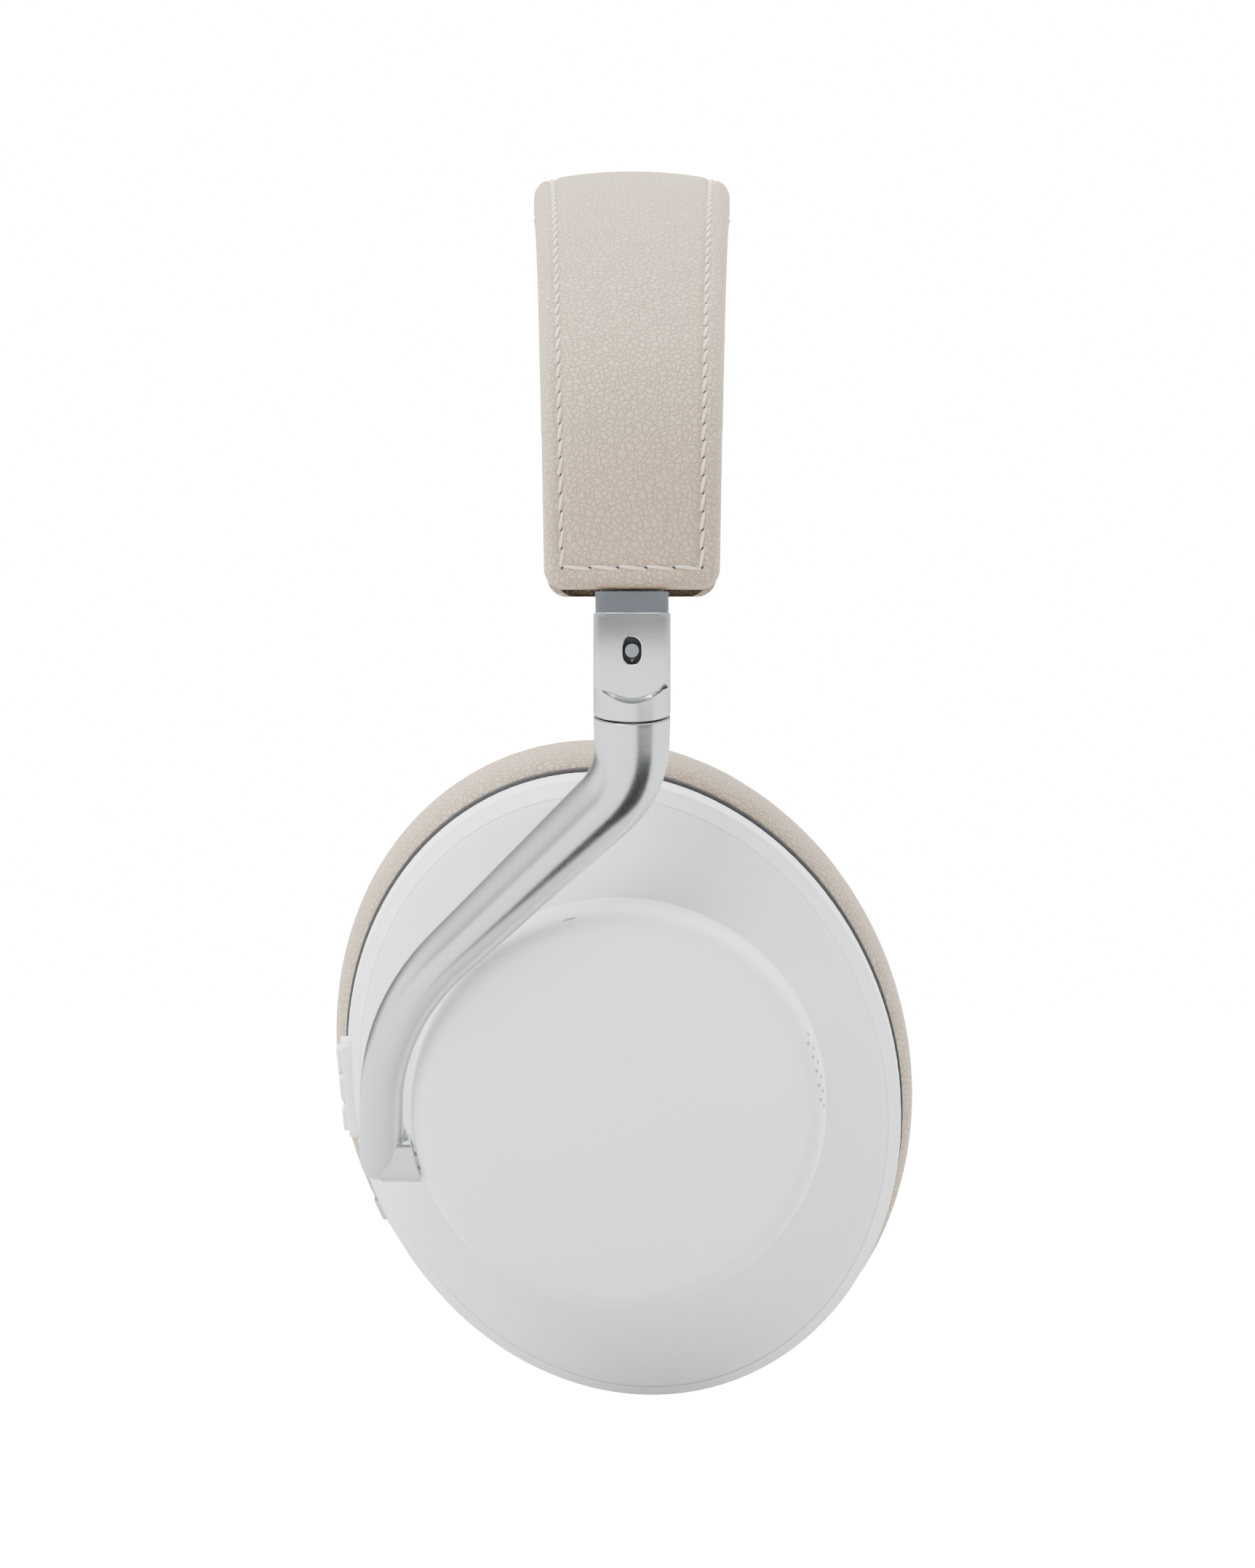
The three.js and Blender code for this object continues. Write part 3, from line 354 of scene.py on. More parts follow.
def plastic_finish(shade):
    finish = Finish("dark_plastic")
    spark = finish.noise(3800, 3, 0.7)
    finish.shade(Base_Color=finish.blend(spark, tint(shade, 0.8), tint(shade, 1.5)),
                 Roughness=0.5 + spark * 0.18)
    return finish.bump(spark, 0.02).material


def cloth_finish(shade):
    finish = Finish("grille_cloth")
    place = finish.coordinates("Object")
    warp, weft = (finish.node("ShaderNodeTexWave", {"bands_direction": way}, Vector=place, Scale=520,
                              Distortion=0.6) for way in ("Y", "Z"))
    weave = warp * weft
    finish.shade(Base_Color=finish.blend(weave, tint(shade, 0.35), tint(shade, 2.2)), Roughness=0.9,
                 Sheen_Weight=0.3)
    return finish.bump(weave, 0.12).material


def board_finish(shade):
    finish = Finish("circuit_board")
    tracks = finish.ramp(finish.noise(420, 0, 0.2), (0.47, 0.0), (0.5, 1.0))
    finish.shade(Base_Color=finish.blend(tracks, tint(shade, 0.7), tint(shade, 1.5)), Roughness=0.35)
    return finish.bump(tracks, 0.03).material


def flock_finish(shade):
    finish = Finish("black_flock")
    fuzz = finish.noise(900)
    finish.shade(Base_Color=finish.blend(fuzz, tint(shade, 0.1), tint(shade, 0.3)), Roughness=1.0,
                 Specular_IOR_Level=0.0)
    return finish.material


def glow_finish():
    finish = Finish("light_diffuser")
    cloudy = finish.noise(900)
    finish.shade(Base_Color=finish.blend(cloudy, (0.82, 0.8, 0.72), (0.95, 0.94, 0.9)), Roughness=0.25)
    return finish.bump(cloudy, 0.01).material


# What the floor gives off: as bright as the backdrop to the camera, and a cove of light on matt
# surfaces that grows from under the headphones to the floor behind them.
FLOOR_GLOW = 15.4
COVE_NEAR, COVE_FAR = (0.04, 0.04, 0.04), (0.55, 0.55, 0.55)
COVE_START, COVE_END = 0.05, 0.3


def floor_finish(shade):
    """A white floor to the camera, a soft light from below on matt surfaces, and dark in reflections."""
    finish = Finish("studio_floor")
    broad = finish.noise(3)
    seen = finish.node("ShaderNodeLightPath", output="Is Camera Ray")
    glossy = finish.node("ShaderNodeLightPath", output="Is Glossy Ray")
    pale = finish.blend(broad, tint(shade, 0.47), tint(shade, 0.49))
    depth = finish.node("ShaderNodeSeparateXYZ", output="X", Vector=finish.coordinates("Object"))
    cove = finish.blend(finish.ramp(depth, (COVE_START, 0.0), (COVE_END, 1.0)), COVE_NEAR, COVE_FAR)
    glow = finish.blend(glossy, cove, (0.0, 0.0, 0.0))
    finish.shade(Base_Color=pale, Roughness=0.85,
                 Emission_Color=finish.blend(seen, glow, (1.0, 1.0, 1.0)), Emission_Strength=FLOOR_GLOW)
    return finish.material


MAKERS = {
    "leather": leather_finish, "thread": thread_finish, "aluminium": aluminium_finish,
    "steel": steel_finish, "lacquer": lacquer_finish, "gunmetal": gunmetal_finish,
    "plastic": plastic_finish, "cloth": cloth_finish, "board": board_finish, "floor": floor_finish,
    "flock": flock_finish,
}
MADE = {}


def finish_of(name):
    """The material of that name, made the first time that it's asked for."""
    if name not in MADE:
        MADE[name] = glow_finish() if name == "light" else MAKERS[name](
            tuple(getattr(bpy.context.scene.headphone_finishes, name)))
    return MADE[name]


# ------------------------------------------------------------------ making pieces

def skin(rings, looped=False, strip=False):
    """Points and faces of a skin over rings of as many points each. It closes on itself or is capped.

    A strip's rings run along its outer face and back along its inner one, so its caps are rows of quads.
    """
    count = len(rings[0])
    points = [point for ring in rings for point in ring]
    faces = []
    for ring in range(len(rings) if looped else len(rings) - 1):
        near = ring * count
        far = (ring + 1) % len(rings) * count
        faces += [(near + i, far + i, far + (i + 1) % count, near + (i + 1) % count) for i in range(count)]
    for start in () if looped else (0, len(points) - count):
        if strip:
            faces += [tuple(start + i for i in (j, j + 1, count - 2 - j, count - 1 - j))
                      for j in range(count // 2 - 1)]
        else:
            faces.append(tuple(range(start, start + count)))
    return points, faces


def joined(*skins):
    """Several skins as one list of points and one of faces."""
    points, faces = [], []
    for more_points, more_faces in skins:
        faces += [tuple(len(points) + index for index in face) for face in more_faces]
        points += more_points
    return points, faces


def mirrored(points, side):
    """The left side's points, or their mirror image for the right side."""
    sign = 1 if side == "left" else -1
    return [Vector((sign * point[0], point[1], point[2])) for point in points]


def of_side(shape, side):
    """The left side's points and faces, or their mirror image for the right side."""
    points, faces = shape
    return mirrored(points, side), faces


def mesh_object(name, points, faces, finish):
    mesh = bpy.data.meshes.new(name)
    mesh.from_pydata([tuple(point) for point in points], [], faces)
    work = bmesh.new()
    work.from_mesh(mesh)
    bmesh.ops.remove_doubles(work, verts=work.verts, dist=0.001 * MM)
    bmesh.ops.recalc_face_normals(work, faces=work.faces)
    work.to_mesh(mesh)
    work.free()
    mesh.materials.append(finish_of(finish))
    made = bpy.data.objects.new(name, mesh)
    bpy.context.scene.collection.objects.link(made)
    return made


def applied(piece):
    """Puts what the piece's modifiers make into its mesh."""
    piece.data = bpy.data.meshes.new_from_object(piece.evaluated_get(bpy.context.evaluated_depsgraph_get()))
    piece.modifiers.clear()


def carve(piece, *tools):
    """Cuts the tools' shapes out of a piece."""
    for index, (points, faces) in enumerate(tools):
        tool = mesh_object(f"{piece.name}_tool_{index}", points, faces, "plastic")
        cut = piece.modifiers.new("cut", "BOOLEAN")
        cut.operation = "DIFFERENCE"
        cut.solver = "EXACT"
        cut.object = tool
        applied(piece)
        if not piece.data.polygons:
            raise RuntimeError(f"cutting {piece.name} left nothing")
        bpy.data.objects.remove(tool)


def settle(piece, body, nodes=(), sharp=SHARP):
    """Shades a piece smooth between its edges, and gives it its body and what it stands for."""
    piece.data.polygons.foreach_set("use_smooth", [True] * len(piece.data.polygons))
    piece.data.set_sharp_from_angle(angle=sharp)
    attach(piece, body)
    if nodes:
        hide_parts(*nodes)
    return piece


SIM_SCALE = 8
SIM_FRAMES = 20
SIM_VOXEL = 1.5 * MM
SIM_PRESSURE = 4


def plumped(points, faces, cap, sewn):
    """The shape after its filling has pressed its leather out, as points and faces.

    The leather is a Cloth simulated eight times as large as it is. sewn(point) says how firmly a point
    is held, from 0, free, to 1, and no point moves farther than the cap.
    """
    scene = bpy.context.scene
    piece = mesh_object("padding_at_work", [point * SIM_SCALE for point in points], faces, "leather")
    remesh = piece.modifiers.new("remesh", "REMESH")
    remesh.mode = "VOXEL"
    remesh.voxel_size = SIM_VOXEL * SIM_SCALE
    applied(piece)
    before = [vertex.co.copy() for vertex in piece.data.vertices]
    held = [sewn(place / SIM_SCALE) for place in before]
    group = piece.vertex_groups.new(name="sewn")
    for index, share in enumerate(held):
        group.add([index], share, "REPLACE")
    cloth = piece.modifiers.new("cloth", "CLOTH")
    cloth.settings.use_pressure = True
    cloth.settings.uniform_pressure_force = SIM_PRESSURE
    cloth.settings.effector_weights.gravity = 0
    cloth.settings.vertex_group_mass = "sewn"
    for step in range(1, SIM_FRAMES + 1):
        scene.frame_set(step)
    applied(piece)
    scene.frame_set(1)
    for vertex, place, share in zip(piece.data.vertices, before, held):
        moved = vertex.co - place
        far = moved.length / (cap * SIM_SCALE)
        vertex.co = place + moved * (1 - share) * (math.tanh(far) / far if far > 0.001 else 1)
    rounded = piece.modifiers.new("rounded", "SUBSURF")
    rounded.levels = 1
    applied(piece)
    result = ([vertex.co / SIM_SCALE for vertex in piece.data.vertices],
              [tuple(face.vertices) for face in piece.data.polygons])
    bpy.data.objects.remove(piece)
    return result


def tube(path, radii, sides=10):
    """A round tube along a path, with a radius for each of its points."""
    rings = []
    side = None
    for index, point in enumerate(path):
        along = (path[min(index + 1, len(path) - 1)] - path[max(index - 1, 0)]).normalized()
        side = side or along.orthogonal()
        side = (side - along * side.dot(along)).normalized()
        other = along.cross(side)
        rings.append([point + radii[index] * (side * math.cos(turn) + other * math.sin(turn))
                      for turn in around(sides)])
    return skin(rings)


def around(count):
    """This many angles evenly round a turn."""
    return [index * TURN / count for index in range(count)]


def spread(count, low=0.0, high=1.0):
    return [low + (high - low) * index / (count - 1) for index in range(count)]


def mix(low, high, share):
    return low + (high - low) * share


def smooth(value):
    value = min(max(value, 0.0), 1.0)
    return value * value * (3 - 2 * value)


# ------------------------------------------------------------------ headband

SEAM_DEPTH = 0.5 * MM
SEAM_WIDTH = 0.75 * MM
EDGE_STEP = 0.3 * MM
ROLL_LENGTH = 5.5 * MM
STITCH_SLANT = 0.28 * MM
STITCH_HEIGHT = 0.3 * MM
# Radius and height over the leather of a needle hole's rings, in millimetres.
NEEDLE_HOLE = ((0.02, 0.07), (0.22, 0.06), (0.34, 0.0), (0.3, -0.12), (0.02, -0.14))
CUSHION_GAP = 0.3 * MM
CUSHION_ROUND = 3 * MM
CUSHION_GIVE = 1.0 * MM
CUSHION_SEWN = 0.9 * MM
PIPING_RADIUS = 0.62 * MM
PIPING_DEPTH = 0.95 * MM
PIPING_INSET = 0.55 * MM
PIPING_END = 1.2 * MM

class Band:
    """The arch: an arc over the head, two shoulder arcs and two straight ends."""

    def __init__(self):
        self.sizes = sizes = bpy.context.scene.headphone_band
        self.crown = sizes.crown_radius * sizes.crown_angle
        self.shoulder = sizes.shoulder_radius * (math.pi / 2 - sizes.crown_angle)
        self.half = self.crown + self.shoulder + sizes.end_length
        self.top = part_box("headband_cover")[1].z
        self.middle = JOINTS["swivel_left"]["pos_m"][1]
        apart = sizes.crown_radius - sizes.shoulder_radius
        self.centre_x = apart * math.sin(sizes.crown_angle)
        self.centre_z = self.top - sizes.crown_radius + apart * math.cos(sizes.crown_angle)

    def place(self, run, depth, across):
        """The point at an arc length from the top, a depth under the outer face and this far across."""
        sizes, way = self.sizes, abs(run)
        if way <= self.crown:
            turn = way / sizes.crown_radius
            radius = sizes.crown_radius - depth
            x, z = radius * math.sin(turn), self.top - sizes.crown_radius + radius * math.cos(turn)
        else:
            turn = min(sizes.crown_angle + (way - self.crown) / sizes.shoulder_radius, math.pi / 2)
            radius = sizes.shoulder_radius - depth
            x = self.centre_x + radius * math.sin(turn)
            z = self.centre_z + radius * math.cos(turn) - max(way - self.crown - self.shoulder, 0)
        return Vector((math.copysign(x, run), self.middle + across, z))

    def depth_of(self, point):
        """How far a point lies under the arch's outer face."""
        sizes = self.sizes
        x, z = abs(point.x), point.z - self.top + sizes.crown_radius
        if math.atan2(x, z) <= sizes.crown_angle:
            return sizes.crown_radius - math.hypot(x, z)
        x, z = x - self.centre_x, point.z - self.centre_z
        return sizes.shoulder_radius - (math.hypot(x, z) if z > 0 else x)

    def straight_half(self, run):
        return mix(self.sizes.width_top, self.sizes.width_end, abs(run) / self.half) / 2

    def half_width(self, run):
        corner = self.sizes.corner
        past = max(corner - (self.half - abs(run)), 0)
        return self.straight_half(run) - corner + math.sqrt(max(corner ** 2 - past ** 2, 0))

    def crowned(self, across):
        return self.sizes.crowning * (2 * across / self.sizes.width_top) ** 2

    def from_edge(self, run, across):
        """How far a point lies inside the rounded outline."""
        corner = self.sizes.corner
        along = self.half - abs(run)
        beside = self.straight_half(run) - abs(across)
        if along < corner and beside < corner:
            return corner - math.hypot(corner - along, corner - beside)
        return min(along, beside)

    def seam_gap(self, run, across):
        """The distance from the stitch line, less than nothing inside it."""
        along = abs(run) - (self.half - self.sizes.seam_end)
        beside = abs(across) - (self.straight_half(run) - self.sizes.seam_inset)
        return math.hypot(max(along, 0), max(beside, 0)) + min(max(along, beside), 0)

    def face_depth(self, run, across):
        """The depth of the leather's face: crowned, rolled over at the edge and drawn in at the seam."""
        roll = self.sizes.edge_round
        edge = max(roll - max(self.from_edge(run, across), 0), 0)
        rolled = roll - math.sqrt(max(roll ** 2 - edge ** 2, 0))
        groove = SEAM_DEPTH * math.exp(-(self.seam_gap(run, across) / SEAM_WIDTH) ** 2)
        return self.crowned(across) + rolled + groove

    def on_face(self, run, across, lift=0.0):
        return self.place(run, self.face_depth(run, across) - lift, across)


def band_stations(band):
    """Arc lengths along the band, closer together where its ends roll over."""
    straight = band.half - ROLL_LENGTH
    coarse = spread(211, -straight, straight)
    ends = [band.half - ROLL_LENGTH * (1 - math.cos(turn)) for turn in spread(22, 0, math.pi / 2)][:-1]
    return [-place for place in ends] + coarse + ends[::-1]


def cover_shape(band):
    sizes = band.sizes
    edge = sizes.edge_round
    shares = [1 - math.cos(turn) for turn in spread(8, 0, math.pi / 2)][1:]
    near = [share * edge for share in shares] + [edge + step * EDGE_STEP for step in range(1, 9)]
    rings = []
    for run in band_stations(band):
        half = band.half_width(run)
        offsets = [half - gap for gap in near]
        middle = spread(15, offsets[-1], -offsets[-1])[1:-1]
        across = offsets + middle + [-offset for offset in reversed(offsets)]
        rim = band.face_depth(run, half)
        wall = [(half, depth) for depth in spread(6, sizes.depth, rim)]
        face = [(y, band.face_depth(run, y)) for y in across]
        outer = wall + face + [(-y, depth) for y, depth in reversed(wall)]
        shrink = (half - sizes.wall) / half
        inner = [(y * shrink, min(depth + sizes.wall * (1 if depth < sizes.depth - sizes.wall else 0),
                                  sizes.depth)) for y, depth in outer]
        rings.append([band.place(run, depth, y) for y, depth in outer + inner[::-1]])
    return skin(rings, strip=True)


def stitch(band, start, end, lift):
    """A short length of thread that comes up at one needle hole and goes down at the next."""
    path = []
    for share in spread(9):
        run, across = (mix(a, b, share) for a, b in zip(start, end))
        path.append(band.on_face(run, across, lift * (math.sin(math.pi * share) ** 0.5 - 0.6)))
    radius = band.sizes.thread / 2
    return tube(path, [radius * (0.55 + 0.45 * math.sin(math.pi * share) ** 0.4) for share in spread(9)], 8)


def needle_holes(band):
    """The holes, each as where it is and which way the seam runs there."""
    sizes = band.sizes
    last = band.half - sizes.seam_end
    count = 2 * round(last / sizes.stitch_pitch)
    side = band.straight_half(last) - sizes.seam_inset
    rows = [[(run, hand * (band.straight_half(run) - sizes.seam_inset))
             for run in spread(count + 1, -last, last)] for hand in (1, -1)]
    return rows + [[(end * last, across) for across in spread(6, -side, side)] for end in (1, -1)]


def thread_shape(band):
    threads = []
    for row, holes in enumerate(needle_holes(band)):
        along = row < 2
        for (run, across), (next_run, next_across) in zip(holes, holes[1:]):
            shift = STITCH_SLANT * (1 if run + next_run > 0 else -1)
            if along:
                ends = (run, across + STITCH_SLANT), (next_run, next_across - STITCH_SLANT)
            else:
                ends = (run + shift, across), (next_run - shift, next_across)
            threads.append(stitch(band, *ends, STITCH_HEIGHT))
    return joined(*threads)


def hole_shape(band):
    """The needle holes as shallow dimples, coloured black as painted shade in the holes."""
    dimples = []
    for row, holes in enumerate(needle_holes(band)):
        long, short = (1.0, 0.75) if row < 2 else (0.75, 1.0)
        for run, across in holes:
            rings = []
            for size, lift in NEEDLE_HOLE:
                rings.append([band.on_face(run + size * MM * long * math.cos(turn),
                                           across + size * MM * short * math.sin(turn), lift * MM)
                              for turn in around(10)])
            dimples.append(skin(rings))
    return joined(*dimples)


def cushion_shape(band):
    """The cushion as a crowned closed form that thins towards the slider housings."""
    sizes = band.sizes
    end = band.half - sizes.housing - CUSHION_GAP
    top = sizes.depth + CUSHION_GAP
    rings = []
    for turn in spread(131, 0.0, math.pi):
        run = -end * math.copysign(abs(math.cos(turn)) ** 0.9, math.cos(turn))
        fade = smooth((end - abs(run)) / (end / 2))
        rim = math.sqrt(max(1 - max(1 - (end - abs(run)) / CUSHION_ROUND, 0) ** 2, 0.004))
        thick = mix(sizes.cushion_end, sizes.cushion, fade) * rim
        half = (band.half_width(run) - CUSHION_GAP) * mix(0.93, 1.0, rim)
        ring = []
        for bend in spread(25, 0.0, math.pi):
            across = half * math.copysign(abs(math.cos(bend)) ** 0.55, math.cos(bend))
            ring.append(band.place(run, top + thick * math.sin(bend) ** 0.75, across))
        for across in spread(9, -half, half)[1:-1]:
            ring.append(band.place(run, top, across))
        rings.append(ring)
    return skin(rings)


def piping_shape(band):
    """The piped seam between the cover and the cushion, a loop just under the cover's edge."""
    sizes = band.sizes
    end = band.half - sizes.housing - PIPING_END
    depth = sizes.depth + PIPING_DEPTH
    side = [(run, band.half_width(run) - PIPING_INSET) for run in spread(120, -end, end)]
    loop = side + [(run, -across) for run, across in reversed(side)] + side[:1]
    return tube([band.place(run, depth, across) for run, across in loop], [PIPING_RADIUS] * len(loop))


class HEADPHONES_OT_headband(bpy.types.Operator):
    """Makes the leather cover, its stitching, the cushion and its piping"""
    bl_idname = "headphones.headband"
    bl_label = "Headband"

    def execute(self, context):
        band = Band()
        deepest = band.sizes.depth + CUSHION_SEWN

        def sewn(point):
            """Held where the cushion is sewn to the cover."""
            return float(band.depth_of(point) < deepest)

        settle(mesh_object("headband_leather", *cover_shape(band), "leather"), "headband",
               ["headband_cover"], LEATHER_SHARP)
        settle(mesh_object("headband_stitches", *thread_shape(band), "thread"), "headband")
        # The needle holes are black as painted shade.
        settle(mesh_object("headband_needle_holes", *hole_shape(band), "plastic"), "headband")
        cushion = mesh_object("headband_padding", *plumped(*cushion_shape(band), CUSHION_GIVE, sewn),
                              "leather")
        settle(cushion, "headband", ["headband_cushion"], LEATHER_SHARP)
        settle(mesh_object("headband_piping", *piping_shape(band), "leather"), "headband")
        return {"FINISHED"}


# ------------------------------------------------------------------ hinges and arms

class Yoke:
    """The left side's frames: up is the swivel's axis, out is square to it and away from the head."""

    def __init__(self):
        scene = bpy.context.scene
        self.arm = scene.headphone_arm
        self.cup = scene.headphone_cup
        swivel = JOINTS["swivel_left"]
        self.origin = Vector(swivel["pos_m"])
        self.up = Vector(swivel["axis"]).normalized()
        self.out = Vector((self.up.z, 0, -self.up.x))
        self.lean = math.atan2(self.up.x, self.up.z)
        self.splay = math.atan2(JOINTS["slide_left"]["axis"][0], -JOINTS["slide_left"]["axis"][2])
        self.elbow = self.arm.block_length / (self.lean + self.splay)
        self.foot = self.place(0, 0, self.arm.ring_height / 2 + self.arm.gap)
        tilt = Vector(JOINTS["tilt_left"]["pos_m"])
        self.cup_origin = tilt - self.out * self.cup.pivot_depth + self.up * self.cup.pivot_drop
        self.cup_origin.y = self.origin.y + self.cup.rear
        self.pivot = Vector(((tilt - self.origin).dot(self.out), self.arm.reach,
                             (tilt - self.origin).dot(self.up)))

    def place(self, out, back, up):
        return self.origin + self.out * out + Vector((0, back, 0)) + self.up * up

    def on_block(self, rise, out, back):
        """A point of the hinge block, its rise measured along the block's bent middle line."""
        turn = self.lean - rise / self.elbow
        x = self.foot.x + self.elbow * (math.cos(turn) - math.cos(self.lean)) + out * math.cos(turn)
        z = self.foot.z - self.elbow * (math.sin(turn) - math.sin(self.lean)) - out * math.sin(turn)
        return Vector((x, self.origin.y + back, z))

    def in_cup(self, depth, back, up):
        return self.cup_origin + self.out * depth + Vector((0, back, 0)) + self.up * up

    def oval(self, depth, long, short, rear=0.0, rise=0.0, count=128):
        turn = self.cup.turn
        ring = []
        for bend in around(count):
            up, back = long * math.cos(bend), short * math.sin(bend)
            ring.append(self.in_cup(depth, rear + up * math.sin(turn) + back * math.cos(turn),
                                    rise + up * math.cos(turn) - back * math.sin(turn)))
        return ring

    def hub_circle(self, depth, radius, count=128):
        return self.oval(depth, radius, radius, self.cup.hub_rear, self.cup.hub_rise, count)

    def shell_oval(self, depth, inset):
        return self.oval(depth, self.cup.shell_long - inset, self.cup.shell_short - inset)


def box_radius(turn, half_out, half_back, corner):
    """How far the outline of a rounded rectangle lies from its middle, in one direction."""
    out, back = abs(math.cos(turn)), abs(math.sin(turn))
    reach = min(half_out / max(out, 1e-9), half_back / max(back, 1e-9))
    inner_out, inner_back = half_out - corner, half_back - corner
    if reach * out > inner_out and reach * back > inner_back:
        along = out * inner_out + back * inner_back
        reach = along + math.sqrt(max(along ** 2 - inner_out ** 2 - inner_back ** 2 + corner ** 2, 0))
    return reach


BLOCK_CORNER = 0.8 * MM
GROOVE_DEPTH = 0.5 * MM
NECK = 3.1 * MM
NECK_OUT_INSET = 0.45 * MM
NECK_BACK_INSET = 0.3 * MM
WINDOW_DROP = 8.5 * MM
WINDOW_DEPTH = 1.6 * MM
WINDOW_HALF_LONG = 2 * MM
WINDOW_HALF_WIDE = 1.5 * MM
WINDOW_CORNER = 1.45 * MM
RING_BORE = 2.7 * MM
RING_BEVEL = 0.18 * MM


def block_shape(yoke):
    """The hinge block: a round barrel at its foot, a flat-faced body and a recessed neck at the leather."""
    arm = yoke.arm
    barrel = arm.top_width / 2
    columns = []
    for turn in around(72):
        flat = box_radius(turn, arm.block_thickness / 2, arm.block_width / 2, BLOCK_CORNER)
        neck = box_radius(turn, arm.block_thickness / 2 - NECK_OUT_INSET,
                          arm.block_width / 2 - NECK_BACK_INSET, BLOCK_CORNER)
        step = (0.7 + 2.4 * math.sin(turn) ** 2) * MM
        groove = barrel - GROOVE_DEPTH
        shoulder = arm.block_length - NECK
        levels = [(0, barrel), (step - 0.34 * MM, barrel), (step - 0.3 * MM, groove),
                  (step - 0.06 * MM, min(flat, groove)), (step, flat - 0.12 * MM)]
        levels += [(rise, flat) for rise in spread(12, step + 0.15 * MM, shoulder - 0.1 * MM)]
        levels += [(shoulder, flat - 0.1 * MM), (shoulder + 0.05 * MM, neck), (arm.block_length, neck)]
        columns.append([yoke.on_block(rise, radius * math.cos(turn), radius * math.sin(turn))
                        for rise, radius in levels])
    return skin([list(ring) for ring in zip(*columns)])


def window_shape(yoke):
    """The oblong window for the screw."""
    middle = yoke.arm.block_length - WINDOW_DROP
    floor = yoke.arm.block_thickness / 2 - WINDOW_DEPTH
    flare = 0.2 * MM
    rings = []
    for rise, grow in ((0, 0), (1.5 * MM, 0), (1.7 * MM, flare), (4 * MM, flare)):
        ring = []
        for turn in around(32):
            radius = box_radius(turn, WINDOW_HALF_LONG + grow, WINDOW_HALF_WIDE + grow, WINDOW_CORNER)
            ring.append(yoke.on_block(middle + radius * math.cos(turn), floor + rise,
                                      radius * math.sin(turn)))
        rings.append(ring)
    return skin(rings)


def block_finish(yoke, point):
    """Which finish a face of the left block has: 0 its metal, 1 its neck in dark metal, painted shadow
    under the leather's end, 2 its window in black, painted shade in the recess.
    """
    neck = yoke.on_block(yoke.arm.block_length - NECK, 0, 0)
    window = yoke.on_block(yoke.arm.block_length - WINDOW_DROP, yoke.arm.block_thickness / 2, 0)
    if point.z > neck.z:
        return 1
    margin = 0.1 * MM
    inside = point.x < window.x - 0.35 * MM and abs(point.y - window.y) < WINDOW_HALF_WIDE + margin
    return 2 if inside and abs(point.z - window.z) < WINDOW_HALF_LONG + 3 * margin else 0


def ring_shape(yoke):
    """The plain ring that turns between the block and the arm, its edges broken."""
    radius, half = yoke.arm.top_width / 2, yoke.arm.ring_height / 2
    top = half + yoke.arm.gap
    profile = ((RING_BORE, -half), (radius - RING_BEVEL, -half), (radius, -half + RING_BEVEL),
               (radius, top), (RING_BORE, top))
    return skin([[yoke.place(r * math.cos(turn), r * math.sin(turn), up) for turn in around(72)]
                 for r, up in profile], looped=True)


ARM_BEVEL = 0.2 * MM
FOOT_GAP = 0.35 * MM
FOOT_CORNER = 1.0 * MM
FOOT_BEVEL = 0.25 * MM
GUSSET_BASE = 2.4 * MM
GUSSET_RISE = 9.5 * MM
GUSSET_START = 2.0 * MM
GUSSET_WIDE = 2.6 * MM
GUSSET_NARROW = 0.5 * MM
GUSSET_SHORT = 0.3 * MM


def arm_path(yoke):
    """The middle line of the arm as close points: three straight runs and two rounded bends."""
    arm = yoke.arm
    top = Vector((0, 0, -arm.ring_height / 2 - arm.gap))
    upper = Vector((0, 0, -arm.upper_bend))
    lower = Vector((-arm.dip, arm.reach, -arm.lower_bend))
    points = [top]
    for before, corner, after, reach in ((top, upper, lower, arm.upper_cut),
                                         (upper, lower, yoke.pivot, arm.lower_cut)):
        enter = corner + (before - corner).normalized() * reach
        leave = corner + (after - corner).normalized() * reach
        start = points[-1]
        points += [start.lerp(enter, share) for share in spread(12)[1:]]
        points += [enter * (1 - t) ** 2 + corner * 2 * t * (1 - t) + leave * t ** 2 for t in spread(16)[1:]]
    start = points[-1]
    return points + [start.lerp(yoke.pivot, share) for share in spread(14)[1:]]


def arm_shape(yoke):
    arm = yoke.arm
    path = arm_path(yoke)
    rings = []
    gone = 0.0
    turns = around(48)

    def ring(middle, radius):
        return [yoke.place(*(middle + radius * (out * math.cos(turn) + across * math.sin(turn))))
                for turn in turns]

    for index, middle in enumerate(path):
        before, after = path[max(index - 1, 0)], path[min(index + 1, len(path) - 1)]
        along = (after - before).normalized()
        gone += (middle - before).length
        out = (Vector((1, 0, 0)) - along * along.x).normalized()
        across = along.cross(out)
        radius = mix(arm.top_width, arm.end_width, min(gone / arm.taper, 1)) / 2
        if index == 0:
            rings.append(ring(middle, radius - ARM_BEVEL))
            middle = middle + along * ARM_BEVEL
        rings.append(ring(middle, radius))
    radius = arm.end_width / 2
    for turn in spread(9, 0, math.pi / 2)[1:-1]:
        drop = along * radius * 0.92 * math.sin(turn)
        rings.append(ring(yoke.pivot + drop, radius * math.cos(turn) ** 0.6))
    return skin(rings)


def foot_end(yoke, rise):
    """How far behind the swivel the foot stops at this rise, just short of the hub's round wall."""
    cup = yoke.cup
    drop = cup.pivot_drop + cup.hub_rise - rise
    return cup.rear + cup.hub_rear + FOOT_GAP + math.sqrt(cup.hub_radius ** 2 - drop ** 2)


